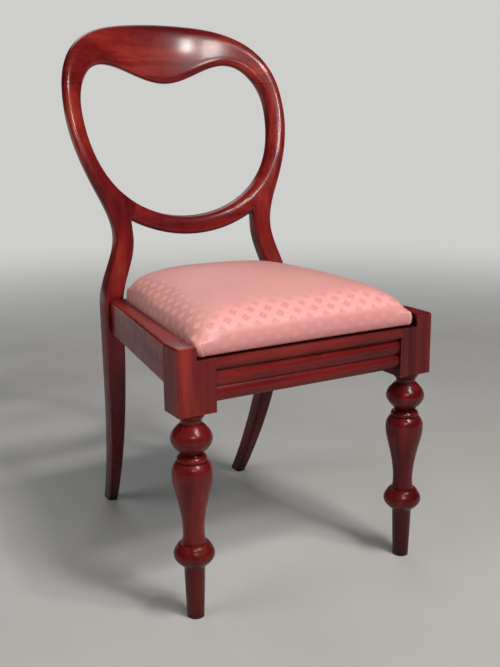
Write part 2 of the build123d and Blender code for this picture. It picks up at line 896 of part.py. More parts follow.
with BuildPart() as seat_cover:
    add(crowned_solid(wall_levels))
    add(crowned_solid(crown_levels))
    add(crowned_solid(cut_below(cover_inside, frame_bottom), ruled=True), mode=Mode.SUBTRACT)
    add(seat_slab(cover_turn_under, seat_bottom, frame_bottom), mode=Mode.SUBTRACT)

webbing_top = frame_top + webbing_thickness * 2 + pad_gap
hessian_top = webbing_top + pad_gap + hessian_thickness

with BuildPart() as seat_stuffing:
    add(crowned_solid(cut_below(pad_section, frame_bottom), ruled=True))
    below_pad = box_between(
        (-front_half, block_face_y, cloth_bottom), (front_half, leg_front_y, frame_top + pad_gap)
    )
    add(below_pad, mode=Mode.SUBTRACT)
    add(seat_slab(webbing_clear_inset, frame_top, hessian_top + pad_gap), mode=Mode.SUBTRACT)

with BuildPart() as base_hessian:
    add(seat_slab(hessian_inset, webbing_top + pad_gap, hessian_top))

with BuildPart() as bottom_cloth:
    add(seat_slab(bottom_cloth_inset, cloth_bottom, seat_bottom))

# Frame: front and back rails run through, and the side rails are dowelled between them.
frame_front_end = seat_front_y + frame_inset + frame_width
frame_back_end = seat_back_y - frame_inset - frame_width
frame_dowel_planes = [
    Plane(
        origin=(
            side * (seat_side_x(end_y) - frame_inset - frame_width / 2) + shift,
            end_y,
            frame_bottom + frame_thickness / 2,
        ),
        x_dir=(1, 0, 0),
        z_dir=(0, 1, 0),
    )
    for name, side in side_names
    for end_y in (frame_front_end, frame_back_end)
    for shift in (-frame_width / 4, frame_width / 4)
]
seat_frame_dowels = dowels(frame_dowel_planes, dowel_length)
frame_dowel_holes = dowel_holes(frame_dowel_planes, dowel_length)


def seat_frame_piece(x_range, y_range):
    """The part of the seat's frame that lies in a range of X and Y."""
    with BuildPart() as piece:
        with BuildSketch(Plane.XY.offset(frame_bottom)):
            with BuildLine():
                seat_edges(frame_inset, seat_corner)
            make_face()
            with Locations((sum(x_range) / 2, sum(y_range) / 2)):
                Rectangle(
                    x_range[1] - x_range[0], y_range[1] - y_range[0], mode=Mode.INTERSECT
                )
            if y_range == side_y_range:
                inner = [
                    (seat_side_x(y) - frame_inset - frame_width, y)
                    for y in (frame_front_end, frame_back_end)
                ]
                opening = inner + [(-x, y) for x, y in reversed(inner)]
                Polygon(*opening, align=None, mode=Mode.SUBTRACT)
        extrude(amount=frame_thickness)
        add(frame_dowel_holes, mode=Mode.SUBTRACT)
    return piece


side_y_range = (frame_front_end, frame_back_end)
full_x_range = (-front_half, front_half)
seat_frame = {
    "front": seat_frame_piece(full_x_range, (seat_front_y - frame_width, frame_front_end)),
    "back": seat_frame_piece(full_x_range, (frame_back_end, seat_back_y + frame_width)),
    "left": seat_frame_piece((-front_half, 0), side_y_range),
    "right": seat_frame_piece((0, front_half), side_y_range),
}

# Webbing: the lengthwise strips lie flat, and the crosswise strips weave over and under.
frame_middle_y = (frame_front_end + frame_back_end) / 2
cross_pitch = (frame_back_end - frame_front_end) / webbing_count
length_pitch = webbing_width * 1.4
strip_numbers = range(webbing_count)


def strip_offset(number, pitch):
    return (number - (webbing_count - 1) / 2) * pitch


with BuildPart() as webbing_lengthwise:
    strip_low = seat_front_y + frame_width / 3
    strip_high = seat_back_y - frame_width / 3
    with BuildSketch(Plane.XY.offset(frame_top)):
        for number in strip_numbers:
            with Locations((strip_offset(number, length_pitch), (strip_low + strip_high) / 2)):
                Rectangle(webbing_width, strip_high - strip_low)
    extrude(amount=webbing_thickness)


def woven_line(row, half_length):
    """Middle line of a crosswise strip, over and under the lengthwise strips in turn."""
    rest = frame_top + webbing_thickness / 2
    lift = webbing_thickness + pad_gap / 2
    flat = webbing_width / 2 + 1
    points = [(-half_length, rest)]
    first = strip_offset(0, length_pitch) - flat - length_pitch / 7
    points.append((first, rest))
    for number in strip_numbers:
        middle = strip_offset(number, length_pitch)
        level = rest + (lift if (row + number) % 2 == 0 else -lift)
        points += [(middle - flat, level), (middle + flat, level)]
    points += [(-first, rest), (half_length, rest)]
    return points


with BuildPart() as webbing_crosswise:
    for row in strip_numbers:
        middle_y = frame_middle_y + strip_offset(row, cross_pitch)
        reach = seat_side_x(middle_y + webbing_width / 2) - frame_width / 3
        line = woven_line(row, reach)
        over = [(x, z + webbing_thickness / 2) for x, z in line]
        under = [(x, z - webbing_thickness / 2) for x, z in reversed(line)]
        strip_plane = Plane(
            origin=(0, middle_y + webbing_width / 2, 0), x_dir=(1, 0, 0), z_dir=(0, -1, 0)
        )
        with BuildSketch(strip_plane):
            Polygon(*over, *under, align=None)
        extrude(amount=webbing_width)


def tack_places():
    """Even places round the underside, a little way in from the edge."""
    front_y, back_y_in = seat_front_y + tack_inset, seat_back_y - tack_inset
    places = []
    for number in range(tacks_per_side):
        share = (number + 0.5) / tacks_per_side
        for y in (front_y, back_y_in):
            half = seat_side_x(y) - tack_inset - seat_corner
            places.append(((2 * share - 1) * half, y))
        y = front_y + seat_corner + (back_y_in - front_y - 2 * seat_corner) * share
        for name, side in side_names:
            places.append((side * (seat_side_x(y) - tack_inset), y))
    return places


with BuildPart() as cover_tacks:
    with BuildSketch(Plane.XY.offset(cloth_bottom)):
        with Locations(*tack_places()):
            RegularPolygon(tack_head_radius, tack_head_sides)
    extrude(amount=-tack_head_height)
    with BuildSketch(Plane.XY.offset(cloth_bottom)):
        with Locations(*tack_places()):
            Rectangle(tack_head_radius * 0.6, tack_head_radius * 0.6)
    extrude(amount=tack_length, taper=2)


# ---- Export --------------------------------------------------------------------------------
pieces = {
    "crest_rail": crest_rail,
    "lower_balloon_rail": lower_rail,
    "crest_dowels": crest_dowels,
    "lower_rail_dowels": lower_rail_dowels,
    "front_seat_rail": front_rail,
    "back_seat_rail": back_rail,
    "back_seat_batten": seat_batten,
    "corner_block_screws": corner_block_screws,
    "seat_frame_dowels": seat_frame_dowels,
    "webbing_lengthwise": webbing_lengthwise,
    "webbing_crosswise": webbing_crosswise,
    "base_hessian": base_hessian,
    "seat_stuffing": seat_stuffing,
    "seat_cover": seat_cover,
    "bottom_cloth": bottom_cloth,
    "cover_tacks": cover_tacks,
    "rear_leg_left": rear_leg_left,
    "rear_leg_right": rear_leg_right,
}
for index, (name, side) in enumerate(side_names):
    pieces["front_leg_" + name] = make_front_leg(side)
    pieces["side_seat_rail_" + name] = make_side_rail(side)
    pieces["corner_block_front_" + name] = make_corner_block(front_corners[index])
    pieces["corner_block_back_" + name] = make_corner_block(back_corners[index])
for name, piece in seat_frame.items():
    pieces["seat_frame_" + name] = piece

for name, piece in pieces.items():
    piece.part.label = name
    export_step(piece.part, f"parts/{name}.step")
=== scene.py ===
"""The looks of a balloon back dining chair with a drop-in seat.

The row frame: X to the right of someone who faces the chair, Y from its front to its back, Z up
from the floor. The scene is in metres; shapes are written in millimetres and scaled by MM.
"""

import math

import bmesh
import bpy
import numpy as np
from mathutils import Matrix, Vector
from mathutils.bvhtree import BVHTree


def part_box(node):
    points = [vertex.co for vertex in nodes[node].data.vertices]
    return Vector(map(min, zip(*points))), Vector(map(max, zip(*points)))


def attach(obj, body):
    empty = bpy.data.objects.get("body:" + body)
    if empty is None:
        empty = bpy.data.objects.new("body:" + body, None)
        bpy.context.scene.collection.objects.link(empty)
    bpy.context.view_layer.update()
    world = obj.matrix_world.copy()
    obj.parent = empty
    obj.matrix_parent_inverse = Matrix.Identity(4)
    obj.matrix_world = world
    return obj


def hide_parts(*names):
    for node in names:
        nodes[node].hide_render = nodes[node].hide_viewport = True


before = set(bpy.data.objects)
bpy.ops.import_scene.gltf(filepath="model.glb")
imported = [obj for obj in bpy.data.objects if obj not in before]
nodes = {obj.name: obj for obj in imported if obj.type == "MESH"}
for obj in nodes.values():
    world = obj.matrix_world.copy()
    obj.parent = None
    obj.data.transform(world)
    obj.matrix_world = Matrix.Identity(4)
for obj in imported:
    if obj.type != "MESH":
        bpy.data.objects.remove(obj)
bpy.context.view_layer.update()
MM = 0.001

# ---- Places that follow the frame ----
COVER_LOW, COVER_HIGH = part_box("seat_cover")
REAR_LEG_LOW, REAR_LEG_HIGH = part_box("rear_leg_right")
LEG_FRONT = REAR_LEG_LOW.y / MM  # front face of the rear legs at the seat
CREST_JOINT = REAR_LEG_HIGH.z / MM  # height at which the crest rail sits on the rear legs
RAIL_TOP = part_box("front_leg_right")[1].z / MM


# ---- Materials ----
class Nodes:
    """A node tree, filled with short calls."""

    def __init__(self, tree):
        self.tree = tree

    def join(self, source, target):
        self.tree.links.new(source, target)

    def give(self, socket, value):
        """Join a socket to another, or set its value."""
        if isinstance(value, bpy.types.NodeSocket):
            self.join(value, socket)
        else:
            socket.default_value = value

    def node(self, kind, settings=None, **inputs):
        """A node with its settings and its inputs, by name or, as _0 and so on, by number."""
        made = self.tree.nodes.new("ShaderNode" + kind)
        for key, value in (settings or {}).items():
            setattr(made, key, value)
        for key, value in inputs.items():
            socket = int(key[1:]) if key[0] == "_" else key.replace("_", " ")
            self.give(made.inputs[socket], value)
        return made


class Shader(Nodes):
    """A new material and its nodes."""

    def __init__(self, name):
        self.material = bpy.data.materials.new(name)
        self.material.use_nodes = True
        super().__init__(self.material.node_tree)
        self.tree.nodes.clear()
        self.output = self.node("OutputMaterial")
        self.surface = self.node("BsdfPrincipled")
        self.join(self.surface.outputs["BSDF"], self.output.inputs["Surface"])

    def place(self, scale=(1, 1, 1)):
        """The position on the piece, stretched."""
        position = self.node("TexCoord").outputs["Object"]
        return self.node("Mapping", Vector=position, Scale=scale).outputs["Vector"]

    def noise(self, place, scale, detail, roughness=0.5, distortion=0.0):
        made = self.node(
            "TexNoise", Vector=place, Scale=scale, Detail=detail,
            Roughness=roughness, Distortion=distortion,
        )
        return made.outputs["Fac"]

    def ramp(self, value, *stops):
        """Colours, or grey levels, at their places along a value."""
        made = self.node("ValToRGB", _0=value)
        points = made.color_ramp.elements
        while len(points) < len(stops):
            points.new(0.5)
        for point, (place, colour) in zip(points, stops):
            point.position = place
            point.color = (*colour, 1) if isinstance(colour, tuple) else (colour,) * 3 + (1,)
        return made.outputs["Color"]

    def math(self, operation, first, second=0.0, clamp=False):
        settings = {"operation": operation, "use_clamp": clamp}
        return self.node("Math", settings, _0=first, _1=second).outputs[0]

    def wave(self, value, pitch):
        """A sine wave along a value."""
        return self.math("SINE", self.math("MULTIPLY", value, 2 * math.pi / pitch))

    def total(self, *parts):
        """The sum of values, each times its weight."""
        result = self.math("MULTIPLY", *parts[0])
        for part in parts[1:]:
            result = self.math("ADD", result, self.math("MULTIPLY", *part))
        return result

    def mix(self, share, first, second, blend="MIX"):
        """Between two colours, by a share, or the first changed by the second."""
        made = self.node("Mix", {"data_type": "RGBA", "blend_type": blend}, _0=share)
        for number, value in ((6, first), (7, second)):
            self.give(made.inputs[number], (*value, 1) if isinstance(value, tuple) else value)
        return made.outputs[2]

    def tint(self, colour, by, share=1.0):
        """A colour multiplied by another, as far as the share says."""
        return self.mix(share, colour, by, "MULTIPLY")

    def bump(self, height, distance, strength):
        made = self.node("Bump", Height=height, Distance=distance, Strength=strength)
        return made.outputs["Normal"]

    def set(self, **inputs):
        """The main shader's own sockets."""
        for key, value in inputs.items():
            self.give(self.surface.inputs[key.replace("_", " ")], value)


GRAIN = {"x": (0.05, 1, 1), "y": (1, 0.05, 1), "z": (1, 1, 0.05)}

WOOD_DARK, WOOD_MID = (0.050, 0.003, 0.005), (0.155, 0.009, 0.009)
WOOD_LIGHT, WOOD_WORN = (0.320, 0.032, 0.018), (0.42, 0.085, 0.026)
FIGURE_SCALE, BROAD_SCALE, STREAK_SCALE, PORE_SCALE = 26, 4.5, 120, 700
WEAR_SCALE, UNEVEN_SCALE, SMEAR_SCALE = 22, 38, 60
# The first is painted shade: the tint that darkens the wood in grooves and hollows, within the
# reach that follows.
GROOVE_SHADE, GROOVE_REACH, ARRIS_REACH = (0.13, 0.09, 0.12), 14 * MM, 3 * MM
FLOOR_SHADE = ((0.02, 0.45), (0.30, 1.0))  # height in metres, and how light the wood is there: painted shade, darker towards the floor
JOINT_LINE = ((0.25, 0.10), (0.85, 1.0))  # the same kind of table, by millimetres from the crest's joint, for its dark hairline


def mahogany(name, grain):
    """French-polished mahogany: long figure, fine pores, painted shade in the grooves and towards
    the floor, worn arrises.
    """
    s = Shader(name)
    along = s.place(GRAIN[grain])
    figure = s.noise(along, FIGURE_SCALE, 4, 0.55, 0.6)
    broad = s.noise(s.place(), BROAD_SCALE, 2)
    streak = s.noise(along, STREAK_SCALE, 3, 0.6)
    tone = s.total((figure, 0.55), (broad, 0.35), (streak, 0.22))
    colour = s.ramp(tone, (0.42, WOOD_DARK), (0.58, WOOD_MID), (0.76, WOOD_LIGHT))
    pores = s.ramp(s.noise(along, PORE_SCALE, 1), (0.55, 1.0), (0.72, 0.75))
    colour = s.tint(colour, pores, 0.2)
    # Painted shade: the wood darkens in grooves, hollows and under things, by how shut in they
    # are.
    hollow = s.node("AmbientOcclusion", {"samples": 16}, Distance=GROOVE_REACH).outputs["AO"]
    colour = s.tint(colour, s.ramp(hollow, (0.35, GROOVE_SHADE), (0.90, 1.0)), 0.9)
    inside = s.node("AmbientOcclusion", {"samples": 8, "inside": True}, Distance=ARRIS_REACH)
    arris = s.ramp(inside.outputs["AO"], (0.40, 1.0), (0.62, 0.0))
    rubbed = s.ramp(s.noise(s.place(), WEAR_SCALE, 4, 0.6), (0.45, 0.0), (0.62, 1.0))
    colour = s.mix(s.math("MULTIPLY", s.math("MULTIPLY", arris, rubbed), 0.8), colour, WOOD_WORN)
    height = s.node("SeparateXYZ", Vector=s.place()).outputs["Z"]
    # Painted shade: the wood darkens towards the floor.
    colour = s.tint(colour, s.ramp(height, *FLOOR_SHADE))
    from_joint = s.math("ABSOLUTE", s.math("SUBTRACT", height, CREST_JOINT * MM))
    seam = s.ramp(s.math("DIVIDE", from_joint, 1 * MM), *JOINT_LINE)
    colour = s.tint(colour, seam)
    bump = s.bump(s.noise(s.place(), UNEVEN_SCALE, 2), 0.4 * MM, 0.22)
    rough = s.ramp(s.noise(s.place(), SMEAR_SCALE, 3), (0.3, 0.24), (0.75, 0.42))
    s.set(
        Base_Color=colour, Roughness=rough, Normal=bump, Coat_Weight=0.32, Coat_Roughness=0.15,
        Coat_IOR=1.5, IOR=1.48, Specular_IOR_Level=0.13,
    )
    return s.material


def bare_wood(name, grain):
    """Unpolished beech, a little dusty."""
    s = Shader(name)
    along = s.place(GRAIN[grain])
    figure = s.noise(along, 45, 4, 0.6, 0.3)
    colour = s.ramp(figure, (0.3, (0.26, 0.15, 0.075)), (0.7, (0.44, 0.29, 0.16)))
    flecks = s.ramp(s.noise(along, 600, 1), (0.55, 1.0), (0.7, 0.7))
    colour = s.tint(colour, flecks, 0.5)
    s.set(
        Base_Color=colour, Roughness=0.62,
        Normal=s.bump(s.noise(along, 350, 2), 0.15 * MM, 0.4),
    )
    return s.material


def dull_steel(name):
    s = Shader(name)
    spots = s.noise(s.place(), 700, 3)
    colour = s.ramp(spots, (0.4, (0.05, 0.05, 0.055)), (0.7, (0.14, 0.11, 0.09)))
    s.set(Base_Color=colour, Metallic=0.9, Roughness=0.42, Normal=s.bump(spots, 0.05 * MM, 0.3))
    return s.material


def plain_weave(name, pitch, dark, light, roughness=0.9, depth=0.25):
    """Threads over and under each other, in the plane of X and Y."""
    s = Shader(name)
    place = s.node("SeparateXYZ", Vector=s.place()).outputs
    crossing = s.math("MULTIPLY", s.wave(place["X"], pitch), s.wave(place["Y"], pitch))
    height = s.math("ADD", s.math("MULTIPLY", crossing, 0.5), 0.5)
    slubs = s.noise(s.place((1, 0.1, 1)), 400, 2)
    # Painted shade: the weave's low places, between the threads, are darker; the slubs add uneven
    # tone.
    tone = s.math("MULTIPLY", s.math("ADD", height, slubs), 0.5)
    colour = s.ramp(tone, (0.25, dark), (0.7, light))
    s.set(
        Base_Color=colour, Roughness=roughness, Normal=s.bump(height, depth * MM, 0.6),
        Sheen_Weight=0.3, Sheen_Roughness=0.5,
    )
    return s.material


# Cells across the seat and from front to back, with a diamond in the middle and at the corners
# of each. Its size and the stairs of its woven outline are shares of the cell.
DIAMOND_PITCH_X, DIAMOND_PITCH_Y, DIAMOND_SIZE, DIAMOND_STEP = 29 * MM, 26 * MM, 0.54, 0.035
THREAD_U, THREAD_V, FOLD_REACH = 0.55 * MM, 0.8 * MM, 4 * MM
# Painted sheen and shade: the satin's ground and figure are made lighter or darker by the way the
# fabric faces.
# Each has two pinks that it fades between, and painted tints on top, where it rolls to an end, on
# the end walls and at the sides.
GROUND_PINKS = (0.68, 0.290, 0.272), (0.74, 0.325, 0.300)
GROUND_SHEEN = (0.95, 0.95, 0.95), (1.14, 1.16, 1.22), (0.90, 0.84, 0.90), (0.90, 0.88, 0.86)
FIGURE_PINKS = (0.69, 0.300, 0.275), (0.75, 0.335, 0.302)
FIGURE_SHEEN = (0.98, 0.98, 0.98), (0.86, 0.78, 0.80), (0.97, 0.95, 0.99), (1.20, 1.28, 1.20)


def damask(name):
    """Satin damask in rose pink: small staggered diamonds, each with a lighter outline and eye;
    its sheen and shade are painted by the way it faces.
    """
    s = Shader(name)
    flat = s.node("UVMap", {"uv_map": "cloth"}).outputs["UV"]
    parts = s.node("SeparateXYZ", Vector=flat).outputs
    u = s.math("DIVIDE", parts["X"], DIAMOND_PITCH_X)
    v = s.math("DIVIDE", parts["Y"], DIAMOND_PITCH_Y)

    def lozenge(shift):
        """Distance from the middle of the cell, 0 there and 1 at its corners."""
        across = s.math("SUBTRACT", s.math("FRACT", s.math("ADD", u, shift)), 0.5)
        along = s.math("SUBTRACT", s.math("FRACT", s.math("ADD", v, shift)), 0.5)
        return s.math("ADD", s.math("ABSOLUTE", across), s.math("ABSOLUTE", along))

    distance = s.math("MINIMUM", lozenge(0.0), lozenge(0.5))
    step = s.math("SNAP", distance, DIAMOND_STEP)
    figure = s.ramp(step, (DIAMOND_SIZE * 0.43, 1.0), (DIAMOND_SIZE * 0.47, 0.0))
    eye = s.ramp(step, (0.06, 1.0), (0.09, 0.0))
    border = s.ramp(step, (0.15, 0.0), (0.17, 1.0), (0.20, 1.0), (0.22, 0.0))
    figure = s.math("SUBTRACT", figure, s.math("MULTIPLY", border, 0.55), clamp=True)
    figure = s.math("SUBTRACT", figure, s.math("MULTIPLY", eye, 0.7), clamp=True)

    # Which way the fabric faces, for the satin's painted sheen and shade.
    facing = s.node("SeparateXYZ", Vector=s.node("TexCoord").outputs["Normal"]).outputs
    to_end, to_side = s.math("ABSOLUTE", facing["Y"]), s.math("ABSOLUTE", facing["X"])
    sheen_to_end = s.ramp(to_end, (0.26, 0.0), (0.50, 1.0), (0.74, 1.0), (0.93, 0.0))
    sheen_on_wall = s.ramp(to_end, (0.72, 0.0), (0.95, 1.0))
    sheen_to_side = s.ramp(to_side, (0.24, 0.0), (0.58, 1.0), (0.88, 0.7))
    fading = s.noise(s.place(), 9, 3)

    # A fading pink, tinted with painted sheen and shade by the way the fabric faces.
    def satin(pinks, tints):
        pink = s.ramp(fading, *zip((0.3, 0.7), pinks))
        tint = tints[0]
        for share, other in zip((sheen_to_end, sheen_on_wall, sheen_to_side), tints[1:]):
            tint = s.mix(share, tint, other)
        return s.tint(pink, tint)

    ground, raised = satin(GROUND_PINKS, GROUND_SHEEN), satin(FIGURE_PINKS, FIGURE_SHEEN)
    colour = s.mix(figure, ground, raised)
    # Painted shade: the fabric darkens in its folds, at the pleats and in the gap below the seat.
    hollow = s.node("AmbientOcclusion", {"samples": 8}, Distance=FOLD_REACH).outputs["AO"]
    fold_shade = s.ramp(hollow, (0.15, (0.30, 0.16, 0.15)), (0.62, 1.0))
    colour = s.tint(colour, fold_shade, 0.85)
    thread = s.mix(figure, s.wave(parts["X"], THREAD_U), s.wave(parts["Y"], THREAD_V))
    slub = s.noise(s.node("Mapping", Vector=flat, Scale=(40, 900, 1)).outputs["Vector"], 1.0, 2)
    colour = s.tint(colour, s.ramp(slub, (0.35, 0.80), (0.65, 1.0)), 0.22)
    rough = s.math("ADD", s.math("MULTIPLY", figure, 0.20), 0.46)
    height = s.total((thread, 0.10), (figure, 0.5), (slub, 0.25))
    s.set(
        Base_Color=colour, Roughness=rough, Normal=s.bump(height, 0.25 * MM, 0.35),
        Sheen_Weight=0.30, Sheen_Roughness=0.35, Sheen_Tint=(1.0, 0.72, 0.66, 1),
        Specular_IOR_Level=0.5,
    )
    return s.material


def assign(piece, material):
    piece.data.materials.clear()
    piece.data.materials.append(material)


WOOD = {axis: mahogany("mahogany_" + axis, axis) for axis in "xyz"}
BEECH = {axis: bare_wood("beech_" + axis, axis) for axis in "xyz"}
STEEL = dull_steel("dull_steel")
WEBBING = plain_weave("jute_webbing", 2.4 * MM, (0.16, 0.11, 0.06), (0.42, 0.33, 0.20))
HESSIAN = plain_weave("hessian", 2.0 * MM, (0.20, 0.14, 0.08), (0.46, 0.36, 0.22), 0.95, 0.4)
BLACK_CLOTH = plain_weave(
    "bottom_cloth_black", 1.1 * MM, (0.008, 0.008, 0.008), (0.035, 0.033, 0.030), 0.92, 0.1
)
DAMASK = damask("rose_damask")

FINISH = (
    (WOOD["x"], "crest_rail lower_balloon_rail front_seat_rail back_seat_rail"),
    (WOOD["y"], "side_seat_rail_left side_seat_rail_right"),
    (WOOD["z"], "rear_leg_left rear_leg_right front_leg_left front_leg_right"),
    (BEECH["x"], "back_seat_batten lower_rail_dowels seat_frame_front seat_frame_back"),
    (BEECH["x"], "corner_block_front_left corner_block_front_right"),
    (BEECH["x"], "corner_block_back_left corner_block_back_right"),
    (BEECH["y"], "seat_frame_left seat_frame_right seat_frame_dowels"),
    (BEECH["z"], "crest_dowels"),
    (STEEL, "corner_block_screws cover_tacks"),
    (WEBBING, "webbing_lengthwise webbing_crosswise"),
    (HESSIAN, "base_hessian seat_stuffing"),
    (BLACK_CLOTH, "bottom_cloth"),
    (DAMASK, "seat_cover"),
)
for material, names in FINISH:
    for node_name in names.split():
        assign(nodes[node_name], material)


# ---- Meshes ----
PATH_STEP = 3.0  # millimetres between the points of a curve
END_CREASE = math.radians(50)


def new_piece(name, points, faces, material, body):
    """A smooth mesh piece in the row frame, which rides on a body. Points are in millimetres."""
    mesh = bpy.data.meshes.new(name)
    mesh.from_pydata([tuple(p) for p in np.asarray(points) * MM], [], faces)
    mesh.validate()
    mesh.shade_smooth()
    piece = bpy.data.objects.new(name, mesh)
    bpy.context.scene.collection.objects.link(piece)
    assign(piece, material)
    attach(piece, body)
    return piece


def border(rows, columns):
    """Places in a grid's list of its outer points, in order round it."""
    place = np.arange(rows * columns).reshape(rows, columns)
    return np.r_[place[0, :-1], place[:-1, -1], place[-1, :0:-1], place[:0:-1, 0]]


def two_layers(rows, columns, below):
    """Faces of a grid of points and of the layer below it, which holds each point's partner."""
    number = np.arange(rows * columns).reshape(rows, columns)
    corners = (number[:-1, :-1], number[:-1, 1:], number[1:, 1:], number[1:, :-1])
    upper = np.stack(corners, axis=2).reshape(-1, 4)
    return np.stack([upper, below[upper[:, ::-1]]], axis=1).reshape(-1, 4).tolist()


def thin_faces(rows, columns):
    """Faces of a closed thin piece: a grid, the same grid below it, and the rim between them."""
    count = rows * columns
    rim = border(rows, columns)
    following = np.roll(rim, -1)
    sides = np.stack([following, rim, rim + count, following + count], axis=1)
    return two_layers(rows, columns, np.arange(count) + count) + sides.tolist()


def bands(rings):
    """Faces from each closed ring of points to the next."""
    faces = []
    for ring, following in zip(rings, rings[1:]):
        corners = (ring, following, np.roll(following, -1), np.roll(ring, -1))
        faces += np.stack(corners, axis=1).tolist()
    return faces


def curve_through(points, start, end):
    """Points along the smooth curve through a few points, with its directions at the ends."""
    points = np.asarray(points, float)
    chords = np.linalg.norm(np.diff(points, axis=0), axis=1)
    count = len(points)
    system = np.zeros((count, count))
    wanted = np.zeros((count, 2))
    for row, direction in ((0, start), (-1, end)):
        system[row, row] = 1
        wanted[row] = np.asarray(direction) / np.linalg.norm(direction)
    for i in range(1, count - 1):
        before, after = chords[i - 1], chords[i]
        system[i, i - 1:i + 2] = after, 2 * (before + after), before
        wanted[i] = 3 * (
            after * (points[i] - points[i - 1]) / before
            + before * (points[i + 1] - points[i]) / after
        )
    slopes = np.linalg.solve(system, wanted)
    path = []
    for i, chord in enumerate(chords):
        t = np.linspace(0, 1, max(int(chord / PATH_STEP), 2) + 1)[:-1, None]
        path.append(
            (2 * t**3 - 3 * t**2 + 1) * points[i] + (t**3 - 2 * t**2 + t) * chord * slopes[i]
            + (3 * t**2 - 2 * t**3) * points[i + 1] + (t**3 - t**2) * chord * slopes[i + 1]
        )
    return np.vstack(path + [points[-1:]])


def evenly(path, count):
    """A number of points along a path, at even steps of its length."""
    lengths = np.r_[0, np.cumsum(np.linalg.norm(np.diff(path, axis=0), axis=1))]
    at = np.linspace(0, 1, count) * lengths[-1]
    return np.stack([np.interp(at, lengths, path[:, i]) for i in range(path.shape[1])], axis=1)


def values(items, key, width, kind=float):
    """A value of each of a mesh's points, edges or corners, in rows."""
    found = np.empty(len(items) * width, kind)
    items.foreach_get(key, found)
    return found.reshape(-1, width)


def rework(piece, crease, change):
    """Change a piece's mesh, and smooth it but for the edges that turn more than a crease."""
    work = bmesh.new()
    work.from_mesh(piece.data)
    change(work)
    work.to_mesh(piece.data)
    work.free()
    piece.data.shade_smooth()
    piece.data.set_sharp_from_angle(angle=crease)


def fix_normals(piece):
    """Faces outwards, with flat ends and joints kept crisp."""
    rework(piece, END_CREASE, lambda work: bmesh.ops.recalc_face_normals(work, faces=work.faces))


def split_at(path, point):
    """The two parts of a path, before and after its nearest place to a point."""
    nearest = np.linalg.norm(path - np.asarray(point), axis=1).argmin()
    first, second = path[:nearest + 1].copy(), path[nearest:].copy()
    first[-1] = second[0] = point
    return first, second


def distance_to(paths, points):
    """Least distance of each point from any of the paths."""
    gaps = []
    for path in paths:
        start, along = path[:-1], np.diff(path, axis=0)
        offset = points[:, None] - start
        share = np.clip((offset * along).sum(2) / (along**2).sum(1), 0, 1)
        gaps.append(np.linalg.norm(offset - share[..., None] * along, axis=2).min(1))
    return np.min(gaps, axis=0)


def ease(value, low, high):
    """0 below the low value, 1 above the high one, and smooth between them."""
    share = np.clip((value - low) / (high - low), 0, 1)
    return share * share * (3 - 2 * share)


# ---- Rear legs, crest rail and lower rail ----
# The four pieces share one bowed and raked face, with their front arrises rolled over so far
# that the hoop is nearly half round in section. Millimetres, as (X, Z), on the right half.
CREST_TOP, DIP = 864.5, 761.5
SHOULDER, WIDEST, OPENING_SIDE = (118.0, 793.5), (207.5, 716.0), (177.5, 716.0)
OPENING_LOW, WAIST, CROTCH = (0.0, 536.0), (150.5, 512.0), (117.5, 537.0)
LOWER_RAIL_LOW = (0.0, 506.0)
LEG_AT_RAIL, LEG_WIDTH = (179.5, 400.0), 33.0
FOOT, FOOT_WIDTH = (147.0, 0.0), 17.0
JOINT_RISE, JOINT_LEAN = 40.0, 16.0
UP, INWARD, OUTWARD = (0, 1), (-1, 0), (1, 0)

BOW_HALF, BOW_AT_CREST, BOW_START = 200.0, 52.0, 393.0
RAKE_START, RAKE_END, RAKE = 440.0, 650.0, math.radians(19)
SWEEP, SWEEP_POWER, SEAT_RAIL = 114.0, 2.1, 410.0
LEG_DEPTH, BACK_DEPTH, FOOT_DEPTH = 33.0, 24.0, 31.0
CAMBER, CAMBER_START, CAMBER_TURN, CAMBER_HALF = 3.0, 832.0, 30.0, 160.0
JOINT_GAP = 0.12  # the hairline between the crest rail and the rear legs

# Width and fall of the rolled front arrises on the legs, what the hoop and the crest add to them
# between these heights, and the same of the arrises behind.
LEG_ROLL, HOOP_ROLL, CREST_ROLL = (4.5, 4.0), (8.7, 5.0), (2.5, 0.0)
HOOP_START, HOOP_FULL, CREST_START, CREST_FULL = 425, 590, 740, 800
BACK_ROLL = (6.0, 4.5)
ROLL_LINES, FLAT_LINES = 8, 7  # mesh lines along a rolled arris, and between the two
ROLL_REACH, ROLL_SHARE = 15.0, 0.42  # the first reach this far in, or this share of a thin member
LEG_RINGS, JOINT_RINGS, STILE_RINGS, CREST_RINGS, RAIL_RINGS = 90, 8, 46, 56, 34
JOINT_BELOW, JOINT_ABOVE = 6, 14  # the outer edge is split this much higher than the joint's ends

outer_outline = np.vstack([
    curve_through([FOOT, LEG_AT_RAIL], (0.1, 1), UP)[:-1],
    curve_through([LEG_AT_RAIL, WAIST], UP, UP)[:-1],
    curve_through([WAIST, (175, 589.5), WIDEST], UP, UP)[:-1],
    curve_through(
        [WIDEST, (196, 787), (172, 822), (130, 848), (60, 862), (0, CREST_TOP)], UP, INWARD
    ),
])
leg_inner = np.vstack([
    curve_through(
        [(FOOT[0] - FOOT_WIDTH, 0), (LEG_AT_RAIL[0] - LEG_WIDTH, LEG_AT_RAIL[1])], (0.05, 1), UP
    )[:-1],
    curve_through([(LEG_AT_RAIL[0] - LEG_WIDTH, LEG_AT_RAIL[1]), (CROTCH[0], WAIST[1])], UP, UP),
    [CROTCH],
])
opening = np.vstack([
    curve_through([OPENING_LOW, (106.5, 566.6), (152.6, 615.2), OPENING_SIDE], OUTWARD, UP)[:-1],
    curve_through([OPENING_SIDE, (162.6, 768.7), (141.8, 788.1), SHOULDER], UP, INWARD)[:-1],
    curve_through([SHOULDER, (63.7, 778.8), (0, DIP)], INWARD, INWARD),
])
lower_arc = curve_through([LOWER_RAIL_LOW, (60, 513.6), CROTCH], OUTWARD, (0.87, 0.49))


